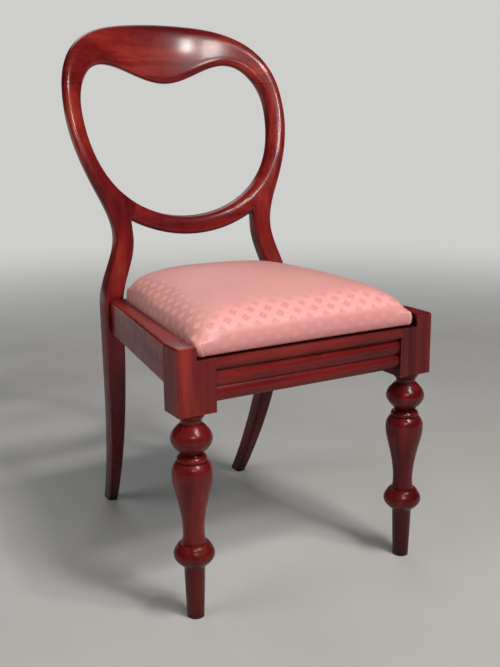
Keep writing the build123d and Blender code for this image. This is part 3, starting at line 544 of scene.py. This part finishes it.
def mirrored(path):
    return path * (-1, 1)


def whole(half, count):
    """An edge from its right half, in even steps: over the middle and on to the left."""
    half = evenly(half, count)
    return np.vstack([half, mirrored(half[::-1])[1:]])


free_edges = [
    half for path in (outer_outline, leg_inner, opening, lower_arc)
    for half in (path, mirrored(path))
]


def face_y(place):
    """Front face of the legs and the back at (X, Z), before its arrises are rolled."""
    x, z = place[:, 0], place[:, 1]
    drop = np.clip((SEAT_RAIL - z) / SEAT_RAIL, 0, 1)
    radius = (RAKE_END - RAKE_START) / math.sin(RAKE)
    bend = np.clip(z - RAKE_START, 0, RAKE_END - RAKE_START)
    lean = radius - np.sqrt(radius**2 - bend**2) + np.clip(z - RAKE_END, 0, None) * math.tan(RAKE)
    bow = BOW_AT_CREST * np.clip((z - BOW_START) / (CREST_TOP - BOW_START), 0, None)
    return LEG_FRONT + SWEEP * drop**SWEEP_POWER + lean + bow * (1 - (x / BOW_HALF) ** 2)


def crest_camber(place):
    """The crest's face is slightly crowned: it falls back from near its top to its lower edge."""
    x, z = place[:, 0], place[:, 1]
    middle = np.clip(1 - (x / CAMBER_HALF) ** 2, 0, 1)
    down = np.clip(CAMBER_START - z, 0, None) / CAMBER_TURN
    return CAMBER * (np.sqrt(1 + down**2) - 1) * middle * (z > CREST_JOINT - 1)


def depth_at(z):
    """Thickness of the legs and the back from front to back."""
    foot = FOOT_DEPTH + (LEG_DEPTH - FOOT_DEPTH) * ease(z, 0, SEAT_RAIL / 3)
    return foot + (BACK_DEPTH - foot) * ease(z, RAKE_START, CROTCH[1])


def roll(distance, width, depth):
    """How far a rolled arris falls away at a distance from its edge."""
    share = np.clip(1 - distance / width, 0, 1)
    return depth * (1 - np.sqrt(1 - share**2))


arc_shares = 1 - np.cos(np.linspace(0, math.pi / 2, ROLL_LINES))


def back_member(name, first_edge, second_edge, material):
    """A closed piece between two edges in (X, Z), which run side by side."""
    rings = []
    for first, second in zip(first_edge, second_edge):
        width = np.linalg.norm(second - first)
        rolled = arc_shares * min(ROLL_REACH, width * ROLL_SHARE) / width
        middle = np.linspace(rolled[-1], 1 - rolled[-1], FLAT_LINES + 2)[1:-1]
        across = np.r_[rolled, middle, 1 - rolled[::-1]][:, None]
        rings.append(first + (second - first) * across)
    flat = np.vstack(rings)
    height = flat[:, 1]
    gap = distance_to(free_edges, flat)
    hoop, crest = ease(height, HOOP_START, HOOP_FULL), ease(height, CREST_START, CREST_FULL)
    front_width, front_fall = (
        leg + more * hoop + top * crest for leg, more, top in zip(LEG_ROLL, HOOP_ROLL, CREST_ROLL)
    )
    front = face_y(flat) + crest_camber(flat) + roll(gap, front_width, front_fall)
    back = face_y(flat) + depth_at(height) - roll(gap, *BACK_ROLL)
    front_points, back_points = (
        np.stack([flat[:, 0], y, height], axis=1).reshape(len(rings), -1, 3) for y in (front, back)
    )
    loops = np.concatenate([front_points, back_points[:, ::-1]], axis=1)
    number = np.arange(loops.size // 3).reshape(loops.shape[:2])
    faces = bands(number) + [number[0].tolist(), number[-1, ::-1].tolist()]
    piece = new_piece(name, loops.reshape(-1, 3), faces, material, "chair_frame")
    fix_normals(piece)
    return piece


def shoulder_foot():
    """Where the lower rail's leaning shoulder meets the opening."""
    lean = np.array([-JOINT_LEAN, JOINT_RISE])
    line = np.array(CROTCH) + lean * np.linspace(0.2, 2, 400)[:, None]
    gaps = distance_to([opening], line)
    return line[gaps.argmin()]


def at_height(path, height):
    """The place on a path where it first rises to a height."""
    i = np.argmax(path[:, 1] >= height)
    share = (height - path[i - 1, 1]) / (path[i, 1] - path[i - 1, 1])
    return path[i - 1] + share * (path[i] - path[i - 1])


def split_at_joint(path):
    """The parts of a path below and above the crest's joint, a hairline apart."""
    below, _ = split_at(path, at_height(path, CREST_JOINT - JOINT_GAP / 2))
    _, above = split_at(path, at_height(path, CREST_JOINT + JOINT_GAP / 2))
    return below, above


def build_back():
    """The two rear legs, the crest rail and the lower rail, cut at their joints."""
    shoulder_top = shoulder_foot()
    low_opening, side_opening = split_at(opening, shoulder_top)
    side_opening, crest_opening = split_at_joint(side_opening)
    stile_outer, crest_outer = split_at_joint(outer_outline)
    joint_low = at_height(stile_outer, CROTCH[1] + JOINT_BELOW)
    leg_outer, stile_outer = split_at(stile_outer, joint_low)
    joint_high = at_height(stile_outer, shoulder_top[1] + JOINT_ABOVE)
    joint_outer, stile_outer = split_at(stile_outer, joint_high)
    joint_line = np.array([CROTCH, shoulder_top])
    spans = (
        (leg_outer, leg_inner, LEG_RINGS), (joint_outer, joint_line, JOINT_RINGS),
        (stile_outer, side_opening, STILE_RINGS),
    )
    outer = np.vstack([evenly(path, n)[:-1] for path, _, n in spans] + [stile_outer[-1:]])
    inner = np.vstack([evenly(path, n)[:-1] for _, path, n in spans] + [side_opening[-1:]])
    for name, turn in (("left", mirrored), ("right", np.array)):
        leg = back_member("rear_leg_" + name + "_shaped", turn(outer), turn(inner), WOOD["z"])
        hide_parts("rear_leg_" + name)
    for name, node, edges, n in (
        ("crest_rail", "crest_rail", (crest_outer, crest_opening), CREST_RINGS),
        ("lower_rail", "lower_balloon_rail", (low_opening[::-1], lower_arc[::-1]), RAIL_RINGS),
    ):
        rail = back_member(name + "_shaped", *(whole(edge, n) for edge in edges), WOOD["x"])
        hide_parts(node)


build_back()


# ---- Turned front legs ----
# The photographed legs have flatter balls, a leaner ring and a fuller vase than the plain
# profile: (height, millimetres added to the radius there), from the floor up to the block.
TURNING = (
    (0, 1.5), (76, -0.5), (83, -1.6), (89, -1.6), (95, -0.4), (103, -0.5), (111, -1.8),
    (116, -0.2), (125, 0.9), (135, 1.1), (147, 1.3), (163, 1.6), (196, 1.5), (212, 1.3),
    (219, 1.0), (226, 0.8), (240, 0.6), (242, 0.9), (246, 0.3), (249, -0.6), (252, -1.6),
    (258, -2.4), (262, -2.0), (268, -0.9), (275, 0.0), (282, -0.8), (288, -2.0), (292, -2.6),
    (297, -1.6), (304, -0.6), (307, 0),
)
TURNED_TOP = 312.5  # just under the block
TURNED_CORE = 5.0  # points nearer to the leg's axis stay where they are
TURNING_CREASE = math.radians(32)
WELD = 0.002  # points of the solid's faces this near to each other become one


def weld(work):
    """Join the points that the solid's faces have each for themselves."""
    bmesh.ops.remove_doubles(work, verts=work.verts, dist=WELD * MM)


def build_front_leg(name):
    """A front leg with the photographed turning below its block."""
    solid = nodes[name].data
    points = values(solid.vertices, "co", 3) / MM
    turned = points[:, 2] < TURNED_TOP
    low, high = points[turned].min(axis=0), points[turned].max(axis=0)
    axis = (low[:2] + high[:2]) / 2
    out = points[turned, :2] - axis
    radius = np.linalg.norm(out, axis=1)
    heights, added = np.array(TURNING).T
    fuller = radius + np.interp(points[turned, 2], heights, added) * (radius > TURNED_CORE)
    points[turned, :2] = axis + out * (fuller / np.maximum(radius, 1e-6))[:, None]
    faces = [tuple(face.vertices) for face in solid.polygons]
    leg = new_piece(name + "_turned", points, faces, WOOD["z"], "chair_frame")
    rework(leg, TURNING_CREASE, weld)
    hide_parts(name)


for side_name in ("left", "right"):
    build_front_leg("front_leg_" + side_name)


# ---- The drop-in seat's cushion ----
# Its outline in plan is a trapezium with full sides and round corners. Millimetres.
COVER_MORE = (0.3, 0.4)  # the cover is fuller than its solid in front and behind
SEAT_FRONT, SEAT_BACK = COVER_LOW.y / MM - COVER_MORE[0], COVER_HIGH.y / MM + COVER_MORE[1]
SEAT_FRONT_HALF, SEAT_BACK_HALF = 187.3, 146.8
SIDE_FULLNESS, FRONT_HOLLOW, SEAT_CORNER = 3.0, 1.5, 13.0
SEAT_BOTTOM, WALL_HEIGHT, CROWN_HEIGHT = COVER_LOW.z / MM, 32.5, 57.0
WALL_TOP, CROWN_TOP = SEAT_BOTTOM + WALL_HEIGHT, RAIL_TOP + CROWN_HEIGHT
CROWN_SPAN, CROWN_ROUND, CROWN_RISE = 150.0, 1.8, 2.0
SEAT_RISE = 19.0  # the pad is this much thicker at its back than its front
CORNER_DROP, CORNER_REACH = 6.0, 22.0  # the crown sinks a little into each corner
DENT, DENT_PLACE, DENT_REACH = 9.0, (140.0, 60.0), (62.0, 75.0)  # sat flat at the rear right
WALL_BELLY, BELLY_PACE, WALL_TUCK = 1.6, 1.15, 1.5  # the wall swells, then draws in below
# The cover's turn under the frame, and how far the last ring and the closing layer draw in.
TURN_UNDER, RING_SHARE, LAYER_SHARE = 24.0, 0.2, 0.3
RING_DROP, LAYER_LIFT, TURN_CLOTH = 0.3, 0.4, 5
CUSHION_CELL = 7.0  # of the fabric's mesh, before it is made finer
WALL_RINGS = 6
HELD_SHARE = 0.3  # of the wall, from below, that the tacks hold
EDGE_BLEND, CLOTH_BLEND = 15.0, 30.0  # reach of the corners in the crown and in the cloth


def crown(inset):
    """Height of the cushion's top, this far in from its edge."""
    edge = (1 - np.clip(inset / CROWN_SPAN, 0, 1)) ** CROWN_ROUND
    return WALL_TOP + (CROWN_TOP - WALL_TOP) * (1 - edge) ** (1 / CROWN_RISE)


def tilted(x, y, height):
    """Height after the cushion's upper levels are tilted and its corners lowered."""
    share = (y - SEAT_FRONT) / (SEAT_BACK - SEAT_FRONT)
    half = SEAT_FRONT_HALF + (SEAT_BACK_HALF - SEAT_FRONT_HALF) * share
    to_side, to_end = half - np.abs(x), np.minimum(share, 1 - share) * (SEAT_BACK - SEAT_FRONT)
    corner = np.exp(-np.clip(to_side + to_end, 0, None) / CORNER_REACH)
    off_x, off_y = (x - DENT_PLACE[0]) / DENT_REACH[0], (y - DENT_PLACE[1]) / DENT_REACH[1]
    dent = DENT * np.exp(-(off_x**2 + off_y**2) / 2)
    lifted = np.clip((height - SEAT_BOTTOM) / WALL_HEIGHT, 0, 1)
    return height + (SEAT_RISE * (share - 0.5) - CORNER_DROP * corner - dent) * lifted


# The length of fabric over the crown from its edge to each distance from the edge.
inset_table = np.linspace(0, CROWN_SPAN + 40, 1900)
step_table = np.hypot(np.diff(inset_table), np.diff(crown(inset_table)))
arc_table = np.r_[0, np.cumsum(step_table)]
EXTRA_CLOTH = arc_table[-1] - inset_table[-1]


def grid_insets(half):
    """Distances from the edge of the grid's lines, up to the middle: even steps along the arc."""
    middle_arc = np.interp(half, inset_table, arc_table)
    count = round(middle_arc / CUSHION_CELL)
    return np.interp(np.linspace(0, middle_arc, count + 1), arc_table, inset_table)


def round_corner(across, along):
    """Distances from two edges, moved so that the corner between them is an arc."""
    r = SEAT_CORNER
    s, t = np.clip(1 - across / r, 0, 1), np.clip(1 - along / r, 0, 1)
    more_across, more_along = 1 - np.sqrt(1 - t**2 / 2), 1 - np.sqrt(1 - s**2 / 2)
    return across + r * s * more_across, along + r * t * more_along


def cushion_grid():
    """Plan positions, distances from the edge and flat cloth places of the top's grid."""
    length = SEAT_BACK - SEAT_FRONT
    half = (SEAT_FRONT_HALF + SEAT_BACK_HALF) / 2
    across = grid_insets(half) / half
    along = grid_insets(length / 2) / length
    a = np.r_[across - 1, (1 - across)[::-1][1:]]
    b = np.r_[along, (1 - along)[::-1][1:]]
    a, b = np.meshgrid(a, b)
    half_here = SEAT_FRONT_HALF + (SEAT_BACK_HALF - SEAT_FRONT_HALF) * b
    half_here = half_here + SIDE_FULLNESS * 4 * b * (1 - b)
    side = (1 - np.abs(a)) * half_here
    end = np.minimum(b, 1 - b) * length
    side, end = round_corner(side, end)
    hollow = FRONT_HOLLOW * (1 - a**2)
    x = np.sign(a) * (half_here - side)
    y = np.where(b < 0.5, SEAT_FRONT + end + hollow, SEAT_BACK - end - hollow)
    near = np.exp(-side / EDGE_BLEND) + np.exp(-end / EDGE_BLEND)
    inset = np.clip(-EDGE_BLEND * np.log(near), 0, None)
    inset[np.isclose(np.abs(a), 1) | np.isclose(np.abs(b - 0.5), 0.5)] = 0
    extra = EXTRA_CLOTH - (np.interp(inset, inset_table, arc_table) - inset)
    to_side, to_end = np.exp(-side / CLOTH_BLEND), np.exp(-end / CLOTH_BLEND)
    weight = to_side / (to_side + to_end)
    u = x + np.sign(a) * extra * weight
    v = y + np.where(b < 0.5, -1, 1) * extra * (1 - weight)
    return x, y, inset, u, v


def outward(loop):
    """Unit normals in plan of a closed loop that runs anticlockwise seen from above."""
    along = np.roll(loop, -1, axis=0) - np.roll(loop, 1, axis=0)
    normal = np.stack([along[:, 1], -along[:, 0]], axis=1)
    return normal / np.linalg.norm(normal, axis=1)[:, None]


def build_cushion():
    """The filled cover, closed below, and the numbers of the points that are tacked down."""
    x, y, inset, u, v = cushion_grid()
    rows, columns = x.shape
    top = np.stack([x, y, tilted(x, y, crown(inset))], axis=2).reshape(-1, 3)
    flat = [np.stack([u, v], axis=2).reshape(-1, 2)]
    points = [top]
    loop = border(rows, columns)
    edge, normal = top[loop, :2], outward(top[loop, :2])
    rings = [loop]
    total = rows * columns
    for ring in range(1, WALL_RINGS + 2):
        share, under = min(ring / WALL_RINGS, 1), ring > WALL_RINGS
        drop = WALL_HEIGHT * share
        belly = WALL_BELLY * math.sin(math.pi * min(share * BELLY_PACE, 1)) - WALL_TUCK * share**3
        belly -= TURN_UNDER * RING_SHARE * under
        ring_plan = edge + normal * belly
        height = WALL_TOP - drop - RING_DROP * under
        points.append(np.c_[ring_plan, tilted(ring_plan[:, 0], ring_plan[:, 1], height)])
        flat.append(flat[0][loop] + normal * (drop + TURN_CLOTH * under))
        rings.append(np.arange(total, total + len(loop)))
        total += len(loop)
    shrink = 1 - TURN_UNDER * LAYER_SHARE / SEAT_FRONT_HALF
    middle = np.array([0, (SEAT_FRONT + SEAT_BACK) / 2])
    inner = np.setdiff1d(np.arange(rows * columns), loop)
    layer = (top[inner, :2] - middle) * shrink + middle
    points.append(np.c_[layer, np.full(len(inner), SEAT_BOTTOM + LAYER_LIFT)])
    flat.append(layer)
    below = np.empty(rows * columns, int)
    below[inner] = total + np.arange(len(inner))
    below[loop] = rings[-1]
    faces = two_layers(rows, columns, below) + bands(rings)
    points, flat = np.vstack(points), np.vstack(flat)
    cushion = new_piece("seat_cushion", points, faces, DAMASK, "drop_in_seat")
    lay_cloth(cushion, flat)
    held = np.where(points[:, 2] < SEAT_BOTTOM + WALL_HEIGHT * HELD_SHARE)[0]
    return cushion, held.tolist()


def lay_cloth(piece, flat):
    """The fabric's flat places, in metres, as the piece's cloth coordinates."""
    layer = piece.data.uv_layers.new(name="cloth")
    corners = values(piece.data.loops, "vertex_index", 1, int).ravel()
    layer.data.foreach_set("uv", (flat[corners] * MM).ravel())


SWELL_CAP = 5 * MM  # the most that the pressure may move the fabric outwards
SWELL_DIP = 0.3 * MM  # ... and inwards
SWELL_FRAMES, SWELL_SLIDE = 20, 0.3  # the second: share kept of the moves along the surface
SMOOTH_ROUNDS = 8  # of averaging the moves with their neighbours'
FABRIC = {
    "quality": 6, "mass": 0.4, "tension_stiffness": 40, "compression_stiffness": 20,
    "shear_stiffness": 12, "bending_stiffness": 0.6, "shrink_min": -0.012,
    "use_pressure": True, "uniform_pressure_force": 3.0, "vertex_group_mass": "held",
}


def swell(piece, held):
    """Fill the cover from inside, held along its lower edge, and keep the shape it takes."""
    mesh = piece.data
    rest = values(mesh.vertices, "co", 3)
    group = piece.vertex_groups.new(name="held")
    group.add(held, 1.0, "REPLACE")
    cloth = piece.modifiers.new("cloth", "CLOTH")
    for key, value in FABRIC.items():
        setattr(cloth.settings, key, value)
    cloth.settings.effector_weights.gravity = 0
    cloth.collision_settings.use_collision = False
    scene = bpy.context.scene
    for number in range(1, SWELL_FRAMES + 1):
        scene.frame_set(number)
    shaped = piece.evaluated_get(bpy.context.evaluated_depsgraph_get())
    step = values(shaped.data.vertices, "co", 3) - rest
    piece.modifiers.clear()
    scene.frame_set(1)
    normals = values(mesh.vertex_normals, "vector", 3)
    out = (step * normals).sum(1)[:, None]
    along = step - out * normals
    step = along * SWELL_SLIDE + np.clip(out, -SWELL_DIP, SWELL_CAP) * normals
    first, second = values(mesh.edges, "vertices", 2, int).T
    shared = np.bincount(np.r_[first, second], minlength=len(step))[:, None]
    for _ in range(SMOOTH_ROUNDS):
        around = np.zeros_like(step)
        np.add.at(around, first, step[second])
        np.add.at(around, second, step[first])
        step = (step + around / shared) / 2
    mesh.vertices.foreach_set("co", (rest + step).ravel())
    mesh.update()


def finer(piece):
    """Halve the cells of a piece's mesh, and round it."""
    modifier = piece.modifiers.new("finer", "SUBSURF")
    modifier.levels = modifier.render_levels = 1
    bpy.context.view_layer.objects.active = piece
    bpy.ops.object.modifier_apply(modifier=modifier.name)
    piece.data.shade_smooth()


PLEAT_FOLD, PLEAT_ALONG_SIDE, PLEAT_CENTRE = 12.0, 14.0, 26.0  # from the corner in plan
PLEAT_LOW, PLEAT_TOP, PLEAT_LEAN = 1.0, 27.0, 0.35  # heights, and how far its free edge leans
PLEAT_STEP, PLEAT_SINK, PLEAT_ROOT = 1.3, 0.6, 1.5  # above the wall, below it at the rim, inside
PLEAT_LIP, PLEAT_FADE = 14, 0.7  # how soon it stands up at its free edge, and dies out
PLEAT_COLUMNS, PLEAT_ROWS = 18, 14
PLEAT_CLOTH, PLEAT_SHIFT = 30.0, (9, 5)  # the pattern on it doesn't run on from the wall
PLEAT_PROBE = 80.0  # from its centre: outside the cushion


def add_pleat(piece, tree, side, front):
    """The cover's spare cloth, folded round a corner: a flap with a free edge on the end wall."""
    end_y = SEAT_FRONT if front else SEAT_BACK
    half = SEAT_FRONT_HALF if front else SEAT_BACK_HALF
    inwards = 1 if front else -1
    centre = np.array([side * (half - PLEAT_CENTRE), end_y + inwards * PLEAT_CENTRE])
    fold = np.array([side * (half - PLEAT_FOLD), end_y]) - centre
    beyond = np.array([side * half, end_y + inwards * PLEAT_ALONG_SIDE]) - centre
    first, last = math.atan2(fold[1], fold[0]), math.atan2(beyond[1], beyond[0])
    last = first + (last - first + math.pi) % (2 * math.pi) - math.pi
    columns, rows = PLEAT_COLUMNS, PLEAT_ROWS
    over, under, cloth = [], [], []
    for j in range(rows):
        up = j / (rows - 1)
        height = SEAT_BOTTOM + PLEAT_LOW + (PLEAT_TOP - PLEAT_LOW) * up
        for i in range(columns):
            share = i / (columns - 1)
            turn = first + (last - first) * (share * (1 - PLEAT_LEAN * up) + PLEAT_LEAN * up)
            ray = Vector((math.cos(turn), math.sin(turn), 0))
            start = Vector((*centre, height)) * MM + ray * (PLEAT_PROBE * MM)
            hit, normal, _, _ = tree.ray_cast(start, -ray)
            lip = min(share * PLEAT_LIP, 1) * (1 - share) ** PLEAT_FADE
            sunk = PLEAT_SINK * max(up, share) ** 3 + PLEAT_SINK * (i == 0)
            rise = (PLEAT_STEP + PLEAT_SINK) * lip * (1 - up**2) - sunk
            over.append((hit + normal * rise * MM)[:])
            under.append((hit - normal * PLEAT_ROOT * MM)[:])
            across = side * half + side * share * PLEAT_CLOTH
            cloth.append((across + PLEAT_SHIFT[0], end_y - height + PLEAT_SHIFT[1]))
    flap = bpy.data.meshes.new("pleat")
    flap.from_pydata(over + under, [], thin_faces(rows, columns))
    work = bmesh.new()
    work.from_mesh(flap)
    bmesh.ops.recalc_face_normals(work, faces=work.faces)
    layer = work.loops.layers.uv.new("cloth")
    for face in work.faces:
        face.smooth = True
        for corner in face.loops:
            place = cloth[corner.vert.index % (rows * columns)]
            corner[layer].uv = (place[0] * MM, place[1] * MM)
    work.to_mesh(flap)
    work.free()
    joined = bmesh.new()
    joined.from_mesh(piece.data)
    joined.from_mesh(flap)
    joined.to_mesh(piece.data)
    joined.free()
    bpy.data.meshes.remove(flap)


def add_pleats(piece):
    """A pleat at every corner of the cushion."""
    work = bmesh.new()
    work.from_mesh(piece.data)
    tree = BVHTree.FromBMesh(work)
    work.free()
    for side in (-1, 1):
        for front in (True, False):
            add_pleat(piece, tree, side, front)


cushion, held_points = build_cushion()
swell(cushion, held_points)
finer(cushion)
add_pleats(cushion)
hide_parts("seat_cover", "seat_stuffing")


# ---- Cloth and webbing under the pad ----
SIDE_SLOPE = (SEAT_BACK_HALF - SEAT_FRONT_HALF) / (SEAT_BACK - SEAT_FRONT)
SHEET_THICKNESS, SHEET_POINTS = 0.5, 45
FRONT_RIPPLE, SIDE_RIPPLE = (9.0, 30.0), (11.0, 25.0)  # pitch over 2 pi, and reach inwards
RIPPLE_MARGIN = 12.0  # flat at the fixings, and free to ripple this far in
STRAP_WIDTH, STRAP_THICKNESS, STRAPS = 50.0, 1.6, 3
STRAP_PITCH_X = STRAP_WIDTH * 1.4
STRAP_WEAVE = 2.15  # of the crosswise straps, over and under the others
STRAP_POINTS, LENGTHWISE_POINTS, CROSSWISE_POINTS = 9, 60, 90


def thin_piece(name, grid, thickness, material, node):
    """A thin closed piece on both sides of a grid of points, which rides with the seat."""
    rows, columns = grid.shape[:2]
    upper = grid.reshape(-1, 3) + (0, 0, thickness / 2)
    lower = grid.reshape(-1, 3) - (0, 0, thickness / 2)
    faces = thin_faces(rows, columns)
    piece = new_piece(name, np.vstack([upper, lower]), faces, material, "drop_in_seat")
    fix_normals(piece)
    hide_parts(node)
    return piece


def stretched_sheet(name, node, material, ripple):
    """A trapezium of cloth pulled flat, with faint ripples between its fixings."""
    low, high = (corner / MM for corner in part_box(node))
    steps = np.linspace(low.y, high.y, SHEET_POINTS), np.linspace(-1, 1, SHEET_POINTS)
    y, a = np.meshgrid(*steps, indexing="ij")
    x = a * (high.x + SIDE_SLOPE * (y - low.y))
    edge = np.minimum((1 - np.abs(a)) * high.x, np.minimum(y - low.y, high.y - y))
    waves = np.sin(x / FRONT_RIPPLE[0]) * np.exp(-(y - low.y) / FRONT_RIPPLE[1])
    waves = waves + np.sin(y / SIDE_RIPPLE[0]) * np.exp(-edge / SIDE_RIPPLE[1])
    z = (low.z + high.z) / 2 + ripple * waves * np.clip(edge / RIPPLE_MARGIN, 0, 1)
    grid = np.stack([x, y, z], axis=2)
    sheet = thin_piece(name, grid, SHEET_THICKNESS, material, node)


def add_strap(node, number, x, y, z):
    """One of the straps that stand for a node, through a grid of points."""
    grid = np.stack([x, y, z], axis=2)
    thin_piece(f"{node}_{number + 1}", grid, STRAP_THICKNESS, WEBBING, node)


def build_webbing():
    """Three straps each way: the crosswise ones weave over and under the others."""
    low, high = (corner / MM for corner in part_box("webbing_lengthwise"))
    cross_low, cross_high = (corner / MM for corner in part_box("webbing_crosswise"))
    rest = (low.z + high.z) / 2
    pitch_y = (cross_high.y - cross_low.y - STRAP_WIDTH) / (STRAPS - 1)
    across = np.linspace(-0.5, 0.5, STRAP_POINTS) * STRAP_WIDTH
    places = [(number - (STRAPS - 1) / 2) * STRAP_PITCH_X for number in range(STRAPS)]
    along = np.linspace(low.y, high.y, LENGTHWISE_POINTS)
    for number, place in enumerate(places):
        y, x = np.meshgrid(along, place + across, indexing="ij")
        add_strap("webbing_lengthwise", number, x, y, np.full(x.shape, rest))
    for row in range(STRAPS):
        middle = cross_low.y + STRAP_WIDTH / 2 + row * pitch_y
        reach = cross_high.x + SIDE_SLOPE * row * pitch_y
        along = np.linspace(-reach, reach, CROSSWISE_POINTS)
        x, y = np.meshgrid(along, middle + across, indexing="ij")
        level = np.zeros(x.shape)
        for number, place in enumerate(places):
            near = 1 - ease(np.abs(x - place), STRAP_WIDTH / 2 + 1, STRAP_PITCH_X / 2)
            level += near * (STRAP_WEAVE if (row + number) % 2 == 0 else -STRAP_WEAVE)
        add_strap("webbing_crosswise", row, x, y, rest + level)


stretched_sheet(
    "dust_cloth", "bottom_cloth", BLACK_CLOTH, 0.2
)
stretched_sheet("hessian_sheet", "base_hessian", HESSIAN, 0.3)
build_webbing()


# ---- Stage, light and camera ----
PHOTO_SIZE, SENSOR = (500, 667), 36.0  # in pixels, and in millimetres
FOCAL_PX = 934.8  # of the camera that fits the photograph, in its pixels
CAMERA_YAW, CAMERA_PITCH, CAMERA_ROLL = 0.5193, 0.2412, -0.0098
CAMERA_PLACE = Vector((-0.7281, -1.3529, 0.7261))

BACKDROP = (0.62, 0.62, 0.60)
WORLD_TURN = (-0.6, 0.8)  # its light changes between these, from front to back
WORLD_LIGHT = (0.08, 0.34)
FLOOR_SIZE = 60
FLOOR_NEAR, FLOOR_FAR = 1.1, 3.6  # where the floor starts to melt into the backdrop, and ends
WARM, COOL = (1.0, 0.96, 0.92), (0.96, 0.98, 1.0)

# The lamps: name, place, size, watts, colour, and whether the polish and the satin mirror them.
LAMPS = (
    ("lamp_left", (0.35, -1.60, 2.66), (0.32, 0.32), 15, WARM, True),
    ("lamp_right", (0.70, -1.45, 2.70), (0.17, 0.17), 12, WARM, True),
    ("lamp_low", (0.42, -1.65, 1.95), (0.45, 0.22), 13, WARM, True),
    ("lamp_strip", (-0.55, -1.80, 1.66), (0.90, 0.10), 8, WARM, True),
    ("key", (0.5, -1.9, 2.5), (1.5, 1.5), 25, WARM, False),
    ("fill_left", (-2.3, -0.1, 2.1), (1.8, 1.8), 22, COOL, False),
    ("fill_back", (0.8, 2.4, 2.6), (2.6, 2.6), 22, COOL, True),
)
LAMP_AIM = Vector((0, 0, 0.5))


def make_camera():
    """The camera that took the photograph."""
    data = bpy.data.cameras.new("camera")
    data.sensor_width = SENSOR
    data.lens = FOCAL_PX / max(PHOTO_SIZE) * SENSOR
    camera = bpy.data.objects.new("camera", data)
    bpy.context.scene.collection.objects.link(camera)
    ahead = Vector((
        math.sin(CAMERA_YAW) * math.cos(CAMERA_PITCH),
        math.cos(CAMERA_YAW) * math.cos(CAMERA_PITCH),
        -math.sin(CAMERA_PITCH),
    ))
    level = Vector((math.cos(CAMERA_YAW), -math.sin(CAMERA_YAW), 0))
    above = level.cross(ahead)
    right = math.cos(CAMERA_ROLL) * level + math.sin(CAMERA_ROLL) * above
    up = -math.sin(CAMERA_ROLL) * level + math.cos(CAMERA_ROLL) * above
    turn = Matrix((right, up, -ahead)).transposed()
    camera.matrix_world = Matrix.Translation(CAMERA_PLACE) @ turn.to_4x4()
    bpy.context.scene.camera = camera


def make_floor():
    """A pale floor that melts into the backdrop a few metres away."""
    s = Shader("pale_floor")
    patches = s.noise(s.place(), 3, 4)
    colour = s.ramp(patches, (0.3, (0.46, 0.455, 0.44)), (0.7, (0.51, 0.505, 0.49)))
    bump = s.bump(s.noise(s.place(), 90, 3), 0.3 * MM, 0.2)
    s.set(Base_Color=colour, Roughness=0.8, Normal=bump)
    glow = s.node("Emission", Color=(*BACKDROP, 1))
    away = s.node("VectorMath", {"operation": "LENGTH"}, _0=s.place()).outputs["Value"]
    far = s.node(
        "MapRange", {"interpolation_type": "SMOOTHSTEP"},
        Value=away, From_Min=FLOOR_NEAR, From_Max=FLOOR_FAR,
    )
    blend = s.node(
        "MixShader", _0=far.outputs["Result"], _1=s.surface.outputs[0], _2=glow.outputs[0]
    )
    s.join(blend.outputs[0], s.output.inputs["Surface"])
    bpy.ops.mesh.primitive_plane_add(size=FLOOR_SIZE)
    floor = bpy.context.object
    floor.name = "floor"
    assign(floor, s.material)


def make_world():
    """Dim in front of the chair and paler behind it, so that the polish stays clear and red."""
    world = bpy.data.worlds.new("studio")
    world.use_nodes = True
    s = Nodes(world.node_tree)
    backdrop, output = (s.tree.nodes[name] for name in ("Background", "World Output"))
    seen = s.node("Background", Color=(*BACKDROP, 1))
    facing = s.node("SeparateXYZ", _0=s.node("TexCoord").outputs["Generated"]).outputs["Y"]
    level = s.node(
        "MapRange", Value=facing, From_Min=WORLD_TURN[0], From_Max=WORLD_TURN[1],
        To_Min=WORLD_LIGHT[0], To_Max=WORLD_LIGHT[1],
    )
    s.join(level.outputs["Result"], backdrop.inputs["Strength"])
    by_camera = s.node("LightPath").outputs["Is Camera Ray"]
    choice = s.node("MixShader", _0=by_camera, _1=backdrop.outputs[0], _2=seen.outputs[0])
    s.join(choice.outputs[0], output.inputs["Surface"])
    bpy.context.scene.world = world


def make_lights():
    """Area lamps, and plain tones instead of a film's."""
    for name, place, size, watts, colour, mirrored_in_gloss in LAMPS:
        data = bpy.data.lights.new(name, "AREA")
        data.shape = "ELLIPSE"
        data.size, data.size_y = size
        data.energy, data.color = watts, colour
        light = bpy.data.objects.new(name, data)
        bpy.context.scene.collection.objects.link(light)
        light.location = place
        light.rotation_euler = (LAMP_AIM - light.location).to_track_quat("-Z", "Y").to_euler()
        light.visible_glossy = mirrored_in_gloss
    bpy.context.scene.view_settings.view_transform = "Standard"


make_floor()
make_world()
make_lights()
make_camera()
